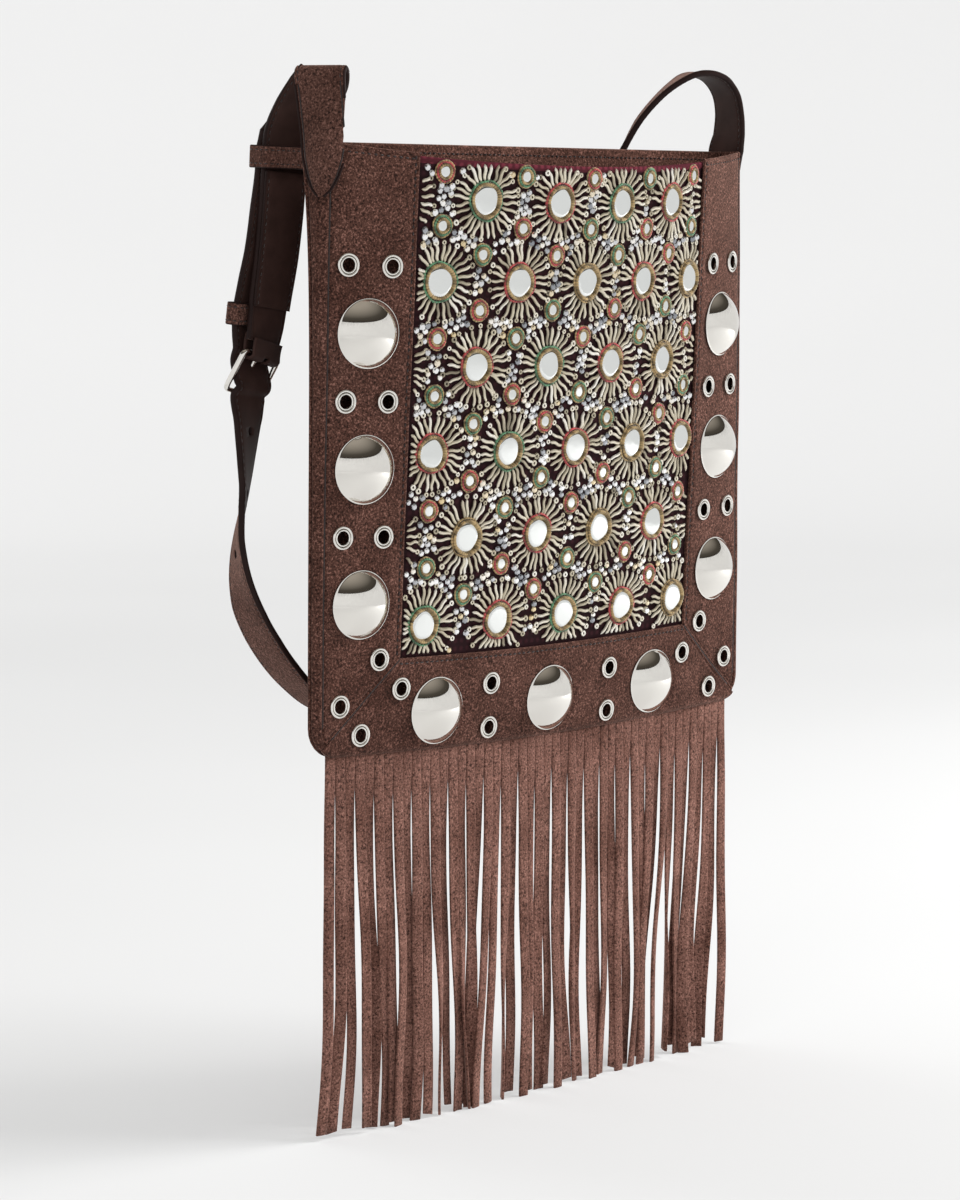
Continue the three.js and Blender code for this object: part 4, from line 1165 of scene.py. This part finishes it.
LONG_ROUTE = (
    (0.989, 0.343, 0.911, 90, 1, 0.04), (0.989, 0.343, 0.923, 90, 1, 0.36),
    (0.989, 0.343, 0.945, 90, 1, 0.66), (0.991, 0.343, 0.968, 88, 0.8, 0.9),
    (0.996, 0.343, 1.0, 84, 0.3, 1), (1.0, 0.337, 1.03, 77, 0, 1),
    (1.001, 0.337, 1.07, 72, 0, 1), (0.983, 0.343, 1.103, 70, 0, 1),
    (0.938, 0.351, 1.126, 66, 0, 1), (0.878, 0.357, 1.136, 62, 0, 1),
    (0.813, 0.386, 1.134, 56, 0, 1), (0.753, 0.443, 1.12, 52, 0, 1),
    (0.698, 0.543, 1.096, 48, 0, 1), (0.635, 0.671, 1.055, 46, 0, 1),
    (0.594, 0.771, 1.011, 43, 0, 1), (0.486, 0.857, 0.904, 34, 0, 1),
    (0.347, 0.929, 0.756, 14, 0, 1), (0.208, 0.971, 0.59, -14, 0, 1),
    (0.056, 0.986, 0.406, -46, 0, 1), (-0.125, 0.986, 0.229, -75, 0, 1),
    (-0.333, 1, 0.096, -88, 0, 1), (-0.556, 1, 0.039, -90, 0, 1),
    (-0.722, 1, 0.057, -90, 0, 1), (-0.847, 1, 0.101, -90, 0, 1),
    (-0.926, 1, 0.141, -90, 0, 1), (-0.995, 1, 0.186, -92, 0, 1),
    (-1.052, 1, 0.236, -98, 0, 1), (-1.087, 1, 0.295, -112, 0, 1),
    (-1.094, 1, 0.354, -125, 0, 1), (-1.08, 1, 0.406, -134, 0, 1),
    (-1.069, 1.006, 0.443, -138, 0, 1), (-1.061, 1.014, 0.494, -147, 0, 1),
    (-1.053, 1.029, 0.546, -157, 0, 1), (-1.042, 1.071, 0.586, -168, 0, 1),
    (-1.032, 1.025, 0.602, -169, 0, 1), (-1.028, 1.083, 0.624, -169, 0, 1),
    (-1.023, 1.139, 0.644, -169, 0, 1), (-1.015, 1.14, 0.665, -169, 0, 1),
    (-1.016, 1.15, 0.69, -169, 0, 1), (-1.015, 1.14, 0.723, -170, 0, 1),
    (-1.003, 1.086, 0.768, -173, 0, 1), (-0.979, 1.04, 0.823, -177, 0, 1),
    (-0.958, 1.017, 0.889, -180, 0, 1), (-0.942, 1.006, 0.945, -180, 0, 1),
    (-0.939, 0.994, 0.989, -180, 0, 1), (-0.943, 0.971, 1.022, -180, 0, 0.8),
    (-0.95, 0.943, 1.048, -180, 0, 0.08),
)


def curve(points, share):
    """Centripetal Catmull-Rom curve through points, at shares from 0 to 1 counted evenly over its spans:
    a cubic on each span whose end slopes come from the neighbours, weighted by root distances."""
    last = len(points) - 1
    ends = np.concatenate([[2 * points[0] - points[1]], points, [2 * points[-1] - points[-2]]])
    place = np.clip(share, 0, 1) * last
    span = np.minimum(place.astype(int), last - 1)
    t = (place - span)[..., None]
    a, b, c, d = (ends[span + k] for k in range(4))
    first, second, third = (np.linalg.norm(q - p, axis=-1, keepdims=True) ** 0.5
                            for p, q in ((a, b), (b, c), (c, d)))
    start = ((b - a) / first - (c - a) / (first + second) + (c - b) / second) * second
    end = ((c - b) / second - (d - b) / (second + third) + (d - c) / third) * second
    return b + start * t + (3 * c - 3 * b - 2 * start - end) * t ** 2 + (2 * b - 2 * c + start + end) * t ** 3


def left_tab(across, z):
    """Left tab's middle surface: round the bag's front corner, its side part running straight back."""
    offset = GAP + STRAP_THICKNESS / 2
    angle = bow_curvature(z) * HALF_WIDTH
    run = across * STRAP_WIDTH - TAB_SIDE
    ahead = np.maximum(run, 0)
    return stack(-half_chord(z) - offset + ahead * np.cos(angle),
                 -offset - np.minimum(run, 0) - ahead * np.sin(angle), z)


def right_tab(across, z):
    """Right tab's middle surface: along the bag's side and round its back corner."""
    offset = GAP + STRAP_THICKNESS / 2
    run = across * STRAP_WIDTH - TAB_SIDE
    back = back_edge_depth(z) + SUEDE + offset
    return stack(half_chord(z) + offset - np.maximum(run, 0), back + np.minimum(run, 0), z)


class Route:
    """A strap's way through the air: its middle line, the direction of its width, its folds and width."""

    def __init__(self, rows, tab):
        table = np.array(rows, float)
        self.points = table[:, :3] * [HALF_WIDTH, STRAP_BEHIND, HEIGHT]
        self.turns, self.folds, self.widths = table[:, 3:].T
        self.tab = tab

    def at(self, share):
        """Middle point, forward and width directions, fold and width at shares of the way."""
        share = np.asarray(share, float)
        point = curve(self.points, share)
        forward = unit(curve(self.points, share + 1e-4) - curve(self.points, share - 1e-4))
        places = np.linspace(0, 1, len(self.turns))
        turn = np.radians(np.interp(share, places, self.turns))
        sideways = stack(np.cos(turn), np.sin(turn), 0 * turn)
        sideways = unit(sideways - forward * (sideways * forward).sum(-1, keepdims=True))
        point = point + forward * (share - np.clip(share, 0, 1))[..., None]
        return (point, forward, sideways, np.interp(share, places, self.folds),
                np.interp(share, places, self.widths))

    def middle(self, across, share):
        """Middle surface: flat across its width, or folded round the bag as a tab."""
        point, _, sideways, fold, width = self.at(share)
        centre = mix(0.5, TAB_SIDE / STRAP_WIDTH, fold)
        reach = np.clip(centre + (across - 0.5) * width, -0.02, 1.02)
        flat = point + sideways * ((reach - 0.5) * STRAP_WIDTH)[..., None]
        return flat + (self.tab(reach, point[..., 2]) - flat) * fold[..., None]

    def surface(self, across, share, rise):
        """The middle surface moved by rise along its normal, which points out of the lining's face."""
        across, share, rise = np.broadcast_arrays(across, share, rise)
        small = 1e-3
        sideways = self.middle(across + small, share) - self.middle(across - small, share)
        upward = self.middle(across, share + small) - self.middle(across, share - small)
        out = unit(np.cross(upward, sideways))
        return self.middle(across, share) + out * rise[..., None], out

    def share_at(self, z, low, high):
        """Share between two others at which the strap passes a height, by halving."""
        rising = self.at(high)[0][2] > self.at(low)[0][2]
        for _ in range(40):
            middle = (low + high) / 2
            if (self.at(middle)[0][2] < z) == rising:
                low = middle
            else:
                high = middle
        return low


SHORT = Route(SHORT_ROUTE, left_tab)
LONG = Route(LONG_ROUTE, right_tab)

HINGE = np.array([-1.007 * HALF_WIDTH, 0.971 * STRAP_BEHIND, 0.653 * HEIGHT])
BUCKLE_DOWN = unit(np.array([-0.3, 0.35, -0.885]))
BUCKLE_ACROSS = np.array([0.94, 0.27, -0.2])
BUCKLE_ACROSS = unit(BUCKLE_ACROSS - BUCKLE_DOWN * (BUCKLE_ACROSS @ BUCKLE_DOWN))
BUCKLE_OUT = unit(np.cross(BUCKLE_DOWN, BUCKLE_ACROSS))
BUCKLE_AXES = np.stack([BUCKLE_ACROSS, BUCKLE_DOWN, -BUCKLE_OUT])
BAND_END = SHORT.share_at(HINGE[2] + WIRE / 2 + GAP + 3 * LAYER, 0.7, 1.0)

# Kinds of surface on a strap, in the order of its materials
SUEDE_FACE, LINING_FACE, CUT_EDGE = 0, 1, 2
SEWN_IN = 1.9


def band_section(thickness):
    """Distances across a strap and rises from its middle, once round: suede face, edge, lining, edge."""
    flat = np.array([0.6, 1.3, 1.9, 2.5, 3.4, 7.0, 12.0, 17.0, 20.6, 21.5, 22.1, 22.7, 23.4])
    half = thickness / 2
    sewn = 0.42 * np.exp(-((np.minimum(flat, STRAP_WIDTH - flat) - SEWN_IN) / 0.5) ** 2)
    soft = 0.12 * (np.minimum(flat, STRAP_WIDTH - flat) < 0.8)
    face = half - sewn - soft
    edge = np.array([0.62, 0.0, -0.62]) * half
    out = np.array([0.14, 0.0, 0.14])
    across = np.concatenate([flat, STRAP_WIDTH - out, flat[::-1], out])
    rise = np.concatenate([-face, -edge, face[::-1], edge])
    kinds = np.concatenate([np.full(12, SUEDE_FACE), np.full(4, CUT_EDGE), np.full(12, LINING_FACE),
                            np.full(4, CUT_EDGE)])
    return across / STRAP_WIDTH, rise, kinds


def strap_band(piece, route, start, end, count, thickness, offset=0.0, kinds=None):
    """A strap as its section carried along a route, with closed ends."""
    across, rise, faces = band_section(thickness)
    faces = faces if kinds is None else np.asarray(kinds)[faces]
    share = np.linspace(start, end, count)[:, None]
    body, _ = route.surface(across, share, rise + offset)
    ends = [route.surface(across, np.full((1, 1), at), 0 * rise + offset)[0] for at in (start, end)]
    piece.grid(np.concatenate([ends[0], body, ends[1]]), (False, True), faces[None, None, :])


def strap_stitches(piece, route, start, end, sizes, faces=(-1, 1), offset=0.0, thickness=STRAP_THICKNESS):
    """Two rows of stitches along a strap, on its suede face, its lining or both."""
    share = np.linspace(start, end, 500)
    for face in faces:
        for inset in (SEWN_IN, STRAP_WIDTH - SEWN_IN):
            path, out = route.surface(inset / STRAP_WIDTH, share, face * (thickness / 2 - 0.4) + offset)
            stitch_row(piece, path, out * face, sizes, 0, 0.58)


def rounded_loop(half_width, low, high, radius, count):
    """Points (x, y) round a rectangle with round corners, and their outward directions."""
    corners = ((half_width - radius, low + radius, -90), (half_width - radius, high - radius, 0),
               (-half_width + radius, high - radius, 90), (-half_width + radius, low + radius, 180))
    points = np.concatenate([arc((x, y), radius, start, start + 90, count) for x, y, start in corners])
    outward = np.concatenate([arc((0, 0), radius, start, start + 90, count) for _, _, start in corners])
    return points, unit(outward)


def keeper(name, route, share, near, far):
    """A leather loop round the strap: a flat band with rounded edges carried round a rectangle."""
    point, forward, sideways, _, _ = route.at(np.array(share))
    axes = np.stack([sideways, np.cross(forward, sideways), forward])
    half = STRAP_WIDTH / 2 + KEEPER_ROOM + KEEPER_WALL
    points, out = rounded_loop(half, -near - KEEPER_ROOM - KEEPER_WALL, far + KEEPER_ROOM + KEEPER_WALL,
                               2 * KEEPER_WALL, 6)
    along = np.array([-0.5, -0.49, -0.45, -0.36, -0.3, -0.24, 0.24, 0.3, 0.36, 0.45, 0.49, 0.5])
    along = along * KEEPER_HEIGHT
    sewn = 0.22 * np.exp(-((np.abs(along) - 0.3 * KEEPER_HEIGHT) / 0.35) ** 2)
    cut = np.array([0.55, 0.25, 0.06, 0, 0, 0, 0, 0, 0, 0.06, 0.25, 0.55])
    outer = np.concatenate([-sewn - cut, -KEEPER_WALL + cut[::-1] * 0.6])
    along = np.concatenate([along, along[::-1]])
    local = np.concatenate([points[:, None] + out[:, None] * outer[None, :, None],
                            np.broadcast_to(along[None, :, None], (len(points), len(along), 1))], -1)
    kinds = np.concatenate([np.full(2, CUT_EDGE), np.full(7, SUEDE_FACE), np.full(3, CUT_EDGE),
                            np.full(11, LINING_FACE), np.full(1, CUT_EDGE)])
    piece = Piece(name + "_leather")
    piece.grid(point + local @ axes, (True, True), kinds[None, None, :])
    piece.finish([MATERIALS["strap"], MATERIALS["lining"], MATERIALS["edge"]], [name])
    rows = []
    for side in (-1, 1):
        path = np.concatenate([points - out * 0.16, np.full((len(points), 1), side * 0.3 * KEEPER_HEIGHT)], 1)
        path = np.concatenate([path, path[:1]])
        normal = np.concatenate([out, np.zeros((len(out), 1))], 1)
        rows.append((point + path @ axes, np.concatenate([normal, normal[:1]]) @ axes))
    return rows


class BAG_OT_strap(bpy.types.Operator):
    """Makes both straps with their lining, painted edges, keepers and stitches"""

    bl_idname = "bag.strap"
    bl_label = "Strap"

    def execute(self, context):
        sizes = context.scene.bag_sizes
        leathers = [MATERIALS["strap"], MATERIALS["lining"], MATERIALS["edge"]]
        seams = Piece("strap_stitching")
        short = Piece("short_strap")
        strap_band(short, SHORT, 0.0, BAND_END, 220, STRAP_THICKNESS)
        top = SHORT.share_at(0.951 * HEIGHT, 0.6, BAND_END)
        low = SHORT.share_at(0.73 * HEIGHT, 0.6, BAND_END)
        inward = STRAP_THICKNESS / 2 + LAYER / 2
        # The turned-back layer's suede face is drawn in the darker smooth lining: painted shade for the
        # shadow it lies in.
        strap_band(short, SHORT, top, low, 60, LAYER, inward + 0.1, (LINING_FACE, LINING_FACE, CUT_EDGE))
        self.buckle_loop(short)
        self.tab_shade_lines(short, seams)
        short.finish(leathers, ["strap_short"])
        strap_stitches(seams, SHORT, 0.012, top, sizes)
        strap_stitches(seams, SHORT, top, BAND_END - 0.01, sizes, (-1,))
        strap_stitches(seams, SHORT, top + 0.01, low, sizes, (1,), inward + 0.1, LAYER)
        long_strap = Piece("long_strap")
        strap_band(long_strap, LONG, 0.0, 1.0, 460, STRAP_THICKNESS)
        band = long_strap.finish(leathers, ["strap_long"])
        self.punch(band)
        strap_stitches(seams, LONG, 0.01, 0.985, sizes)
        loops = keeper("keeper_top", LONG, LONG.share_at(0.975 * HEIGHT, 0.9, 0.96), STRAP_THICKNESS / 2,
                       2.6 * STRAP_THICKNESS)
        loops += keeper("keeper_buckle", LONG, LONG.share_at(0.72 * HEIGHT, 0.8, 0.93), STRAP_THICKNESS / 2,
                        STRAP_THICKNESS / 2)
        for path, out in loops:
            stitch_row(seams, path, out, sizes, 0, 0.5)
        seams.finish([MATERIALS["stitch"]])
        return {"FINISHED"}

    def tab_shade_lines(self, piece, seams):
        """Painted shade at the front tab's edge and in its seam's groove: dark rods in the painted edge's
        colour along the outline and in the thread's colour along the pressed seam line, each up one side at a
        fixed share across and down the other."""
        share = np.linspace(0.0, SHORT.share_at(1.09 * HEIGHT, 0.1, 0.4), 90)
        for inset, radius, lift, target, kind in ((0.45, 0.58, 0.0, piece, CUT_EDGE),
                                                  (SEWN_IN, 0.36, -0.28, seams, 0)):
            for across in (inset / STRAP_WIDTH, 1 - inset / STRAP_WIDTH):
                path, out = SHORT.surface(across, share, -STRAP_THICKNESS / 2)
                path = path - out * lift
                size = np.full(len(path), radius)
                size[[0, -1]] = 0.02
                target.grid(rod(path, -out, size, size, 8), (False, True), kind)

    def buckle_loop(self, piece):
        """Smooth leather from the short strap's end down in front of the hinge bar, round it and up."""
        radius = WIRE / 2 * math.sqrt(2) + GAP + LAYER / 2
        start, forward = SHORT.at(np.array(BAND_END))[:2]
        rise = start[2] - HINGE[2] + LAYER
        up = np.linspace(0, 1, 44)[:, None]
        turn = np.pi * np.clip((up - 0.25) / 0.5, 0, 1)
        straight = np.maximum(np.maximum(0.25 - up, up - 0.75), 0) / 0.25
        climb = unit(mix(np.array([0.0, 0.0, 1.0]), -forward, straight))
        middle = (HINGE + BUCKLE_OUT * radius * np.cos(turn) + BUCKLE_DOWN * radius * np.sin(turn)
                  + climb * straight * rise)
        tangent = unit(np.gradient(middle, axis=0))
        out = unit(np.cross(tangent, BUCKLE_ACROSS))
        half_slot = (4 * PRONG_RADIUS + 2 * GAP) / 2
        half = STRAP_WIDTH / 2 - BUCKLE_ROOM
        across = np.concatenate([[-half, -half + 0.3, -half + 0.8], np.linspace(-half + 2, -half_slot, 9),
                                 np.linspace(half_slot, half - 2, 9), [half - 0.8, half - 0.3, half]])
        thick = LAYER / 2 * rounded(half - np.abs(across), 0.8)
        centre = middle[:, None] + BUCKLE_ACROSS * across[None, :, None]
        keep = np.ones((len(middle) - 1, len(across) - 1), bool)
        near_bar = np.abs(turn[:-1, 0] / np.pi - 0.5) < 0.5
        keep[:, 11] = ~near_bar
        half_wall = out[:, None] * thick[None, :, None]
        piece.slab(centre + half_wall, centre - half_wall, keep, LINING_FACE)

    def punch(self, band):
        """Cuts the buckle's empty holes through the long strap."""
        cutters = Piece("hole_cutters")
        for height in EMPTY_HOLES:
            point, forward, sideways, _, _ = LONG.at(np.array(LONG.share_at(height * HEIGHT, 0.55, 0.82)))
            axes = np.stack([sideways, forward, np.cross(sideways, forward)])
            deep = 1.5 * STRAP_THICKNESS
            pin = lathe([(0, -deep), (PUNCHED_HOLE, -deep), (PUNCHED_HOLE, deep), (0, deep)], 20)
            cutters.grid(point + pin @ axes, (False, True))
        tool = cutters.finish([MATERIALS["edge"]])
        cut = band.modifiers.new("holes", "BOOLEAN")
        cut.operation = "DIFFERENCE"
        cut.solver = "EXACT"
        cut.object = tool
        bpy.context.view_layer.update()
        shape = bpy.data.meshes.new_from_object(band.evaluated_get(bpy.context.evaluated_depsgraph_get()))
        band.modifiers.clear()
        band.data = shape
        bpy.data.objects.remove(tool)


class BAG_OT_buckle(bpy.types.Operator):
    """Makes the buckle's wire frame and its prong"""

    bl_idname = "bag.buckle"
    bl_label = "Buckle"

    def execute(self, context):
        half = (STRAP_WIDTH + 2 * BUCKLE_ROOM + WIRE) / 2
        points, out = rounded_loop(half, 0, BUCKLE_LENGTH, WIRE, 7)
        angle = np.arange(14) * 2 * np.pi / 14
        radius = WIRE / 2
        # The wire is pressed a little flat on its front and back.
        ring_out = radius * np.sign(np.cos(angle)) * np.abs(np.cos(angle)) ** 0.75
        ring_up = radius * np.sign(np.sin(angle)) * np.abs(np.sin(angle)) ** 0.75
        local = np.concatenate([points[:, None] + out[:, None] * ring_out[None, :, None],
                                np.broadcast_to(ring_up[None, :, None], (len(points), 14, 1))], -1)
        wire = Piece("buckle_wire")
        wire.grid(HINGE + local @ BUCKLE_AXES, (True, True))
        wire.finish([MATERIALS["nickel"]], ["buckle_frame"])
        turn = np.radians(np.linspace(250, 60, 18))
        eye = radius + GAP + PRONG_RADIUS
        eye_path = np.stack([0 * turn, eye * np.cos(turn), eye * np.sin(turn)], -1)
        reach = np.linspace(0.22, 1.07, 16)
        needle = np.stack([0 * reach, reach * BUCKLE_LENGTH, mix(eye * 0.85, eye, smooth(reach * 1.1))], -1)
        path = np.concatenate([eye_path, needle])
        size = np.concatenate([np.full(18, PRONG_RADIUS), np.linspace(1.0, 0.72, 16) * PRONG_RADIUS])
        size[0] = 0.02
        size[-1] = 0.25
        path = np.concatenate([path, path[-1:] + [0, 0.12, 0]])
        size = np.concatenate([size, [0.01]])
        prong = Piece("buckle_needle")
        local = rod(path, np.array([1.0, 0.0, 0.0]), size, 1.25 * size, 12)
        prong.grid(HINGE + local @ BUCKLE_AXES, (False, True))
        prong.finish([MATERIALS["nickel"]], ["buckle_prong"])
        return {"FINISHED"}


class BAG_OT_stage(bpy.types.Operator):
    """Makes the pale studio sweep, the lights and the camera"""

    bl_idname = "bag.stage"
    bl_label = "Stage"

    def execute(self, context):
        scene = context.scene
        floor = CAD_BOX[0][2] - 0.004
        # The sweep is a bowl: flat floor, quarter circle, then a wall up to where the ceiling starts.
        flat, bend, wall = 2.6, 1.2, 2.15
        turn = np.linspace(0, np.pi / 2, 14)
        profile = np.concatenate([[(0, 0), (0.6, 0), (1.6, 0)],
                                  np.stack([flat + bend * np.sin(turn), bend * (1 - np.cos(turn))], -1),
                                  [(flat + bend, bend + wall / 2), (flat + bend, wall)]])
        grid = lathe(profile, 96)
        mesh = bpy.data.meshes.new("sweep")
        rows, columns = grid.shape[:2]
        number = np.arange(rows * columns).reshape(rows, columns)
        number = np.concatenate([number, number[:, :1]], 1)
        faces = np.stack([number[:-1, :-1], number[:-1, 1:], number[1:, 1:], number[1:, :-1]], -1)
        faces = faces.reshape(-1, 4)
        mesh.from_pydata((grid + [0, 0, floor]).reshape(-1, 3).tolist(), [], faces.tolist())
        mesh.polygons.foreach_set("use_smooth", np.ones(len(faces), bool))
        # Matt white paper: it takes a soft shadow, and is lit evenly from floor to wall, as a cyclorama is.
        paper, tree, shader, place = new_material("Matt white paper sweep", {
            "Roughness": 1.0, "Specular IOR Level": 0.0, "Emission Color": linear("#ffffff"),
        })
        away = add(tree, "ShaderNodeVectorMath", {"operation": "LENGTH"}, {0: place}).outputs["Value"]
        glow = add(tree, "ShaderNodeMapRange", {"interpolation_type": "SMOOTHSTEP"}, {
            "Value": away, "From Min": 1.0, "From Max": 3.6, "To Min": FLOOR_GLOW, "To Max": WALL_GLOW,
        }).outputs["Result"]
        tree.links.new(glow, shader.inputs["Emission Strength"])
        fibre = noise(tree, place, 900.0, 2.0)
        shade = ramp(tree, fibre, [(0.3, linear("#a4a4a4")), (0.7, linear("#aaaaaa"))])
        tree.links.new(shade, shader.inputs["Base Color"])
        mesh.materials.append(paper)
        sweep = bpy.data.objects.new("studio_sweep", mesh)
        scene.collection.objects.link(sweep)
        self.sky(scene)

        self.area("key", (1.15, -0.95, 1.45), (0.0, 0.0, -0.2), 0.9, 34.0)
        self.area("side", (1.7, -0.65, 0.25), (0.1, 0.0, -0.05), 0.8, 30.0)
        self.area("fill", (-1.8, -1.2, 0.5), (0.0, 0.0, -0.2), 1.4, 9.0)
        self.area("back", (-0.3, 1.7, 1.2), (0.0, 0.0, -0.15), 1.2, 10.0)

        camera = bpy.data.cameras.new("camera")
        camera.lens = FOCAL_PIXELS * SENSOR / IMAGE_HEIGHT
        camera.sensor_width = SENSOR
        camera.clip_end = 50.0
        right = np.array([math.cos(CAMERA_YAW), -math.sin(CAMERA_YAW), 0.0])
        level = np.array([math.sin(CAMERA_YAW), math.cos(CAMERA_YAW), 0.0])
        up = np.array([0.0, 0.0, 1.0])
        forward = math.cos(CAMERA_PITCH) * level + math.sin(CAMERA_PITCH) * up
        upward = math.cos(CAMERA_PITCH) * up - math.sin(CAMERA_PITCH) * level
        turned = math.cos(CAMERA_ROLL) * right + math.sin(CAMERA_ROLL) * upward
        upward = math.cos(CAMERA_ROLL) * upward - math.sin(CAMERA_ROLL) * right
        pose = np.eye(4)
        pose[:3, :3] = np.stack([turned, upward, -forward], 1)
        pose[:3, 3] = placed(CAMERA_PLACE)
        holder = bpy.data.objects.new("camera", camera)
        holder.matrix_world = Matrix(pose.tolist())
        scene.collection.objects.link(holder)
        scene.camera = holder
        scene.view_settings.view_transform = "Standard"
        return {"FINISHED"}

    def sky(self, scene):
        """A world that gives matt surfaces even soft light. Polished metal reflects a dark studio ceiling,
        paler towards the zenith, instead."""
        world = bpy.data.worlds.new("studio")
        scene.world = world
        world.use_nodes = True
        tree = world.node_tree
        tree.nodes.clear()
        way = add(tree, "ShaderNodeTexCoord").outputs["Generated"]
        height = add(tree, "ShaderNodeSeparateXYZ", None, {0: way}).outputs["Z"]
        ceiling = ramp(tree, height, [(0.38, linear("#2f2b26")), (0.62, linear("#4f4a43")),
                                      (0.95, linear("#a8a095"))])
        glossy = add(tree, "ShaderNodeLightPath").outputs["Is Glossy Ray"]
        colour = blend(tree, glossy, linear("#c8c8c6"), ceiling)
        light = add(tree, "ShaderNodeBackground", None, {"Color": colour, "Strength": 1.0})
        add(tree, "ShaderNodeOutputWorld", None, {"Surface": light.outputs["Background"]})

    def area(self, name, place, target, size, power):
        """A square soft light aimed at a point, which polished metal does not reflect."""
        light = bpy.data.lights.new(name, "AREA")
        light.shape = "SQUARE"
        light.size = size
        light.energy = power
        holder = bpy.data.objects.new(name, light)
        away = unit(np.array(place) - np.array(target))
        side = unit(np.cross([0.0, 0.0, 1.0], away))
        pose = np.eye(4)
        pose[:3, :3] = np.stack([side, np.cross(away, side), away], 1)
        pose[:3, 3] = place
        holder.matrix_world = Matrix(pose.tolist())
        holder.visible_glossy = False
        holder.visible_camera = False
        bpy.context.scene.collection.objects.link(holder)


class BAG_PT_panel(bpy.types.Panel):
    """Lists the bag's pieces, sizes and colours in the 3D view's sidebar"""

    bl_idname = "BAG_PT_panel"
    bl_label = "Suede bag"
    bl_space_type = "VIEW_3D"
    bl_region_type = "UI"
    bl_category = "Suede bag"

    def draw(self, context):
        layout = self.layout
        for group in (context.scene.bag_sizes, context.scene.bag_colours):
            for name in group.__annotations__:
                layout.prop(group, name)
        for operator in OPERATORS:
            layout.operator(operator.bl_idname)


OPERATORS = (BAG_OT_front, BAG_OT_back, BAG_OT_cloth, BAG_OT_mirrors, BAG_OT_rays, BAG_OT_stones,
             BAG_OT_metal, BAG_OT_fringe, BAG_OT_strap, BAG_OT_buckle, BAG_OT_stage)
CLASSES = (BagColours, BagSizes, *OPERATORS, BAG_PT_panel)


def register():
    for each in CLASSES:
        bpy.utils.register_class(each)
    bpy.types.Scene.bag_colours = bpy.props.PointerProperty(type=BagColours)
    bpy.types.Scene.bag_sizes = bpy.props.PointerProperty(type=BagSizes)


def unregister():
    del bpy.types.Scene.bag_sizes
    del bpy.types.Scene.bag_colours
    for each in reversed(CLASSES):
        bpy.utils.unregister_class(each)


def main():
    register()
    make_materials(bpy.context.scene.bag_colours)
    bpy.ops.bag.front()
    bpy.ops.bag.back()
    bpy.ops.bag.cloth()
    bpy.ops.bag.mirrors()
    bpy.ops.bag.rays()
    bpy.ops.bag.stones()
    bpy.ops.bag.metal()
    bpy.ops.bag.fringe()
    bpy.ops.bag.strap()
    bpy.ops.bag.buckle()
    bpy.ops.bag.stage()


if __name__ == "__main__":
    main()
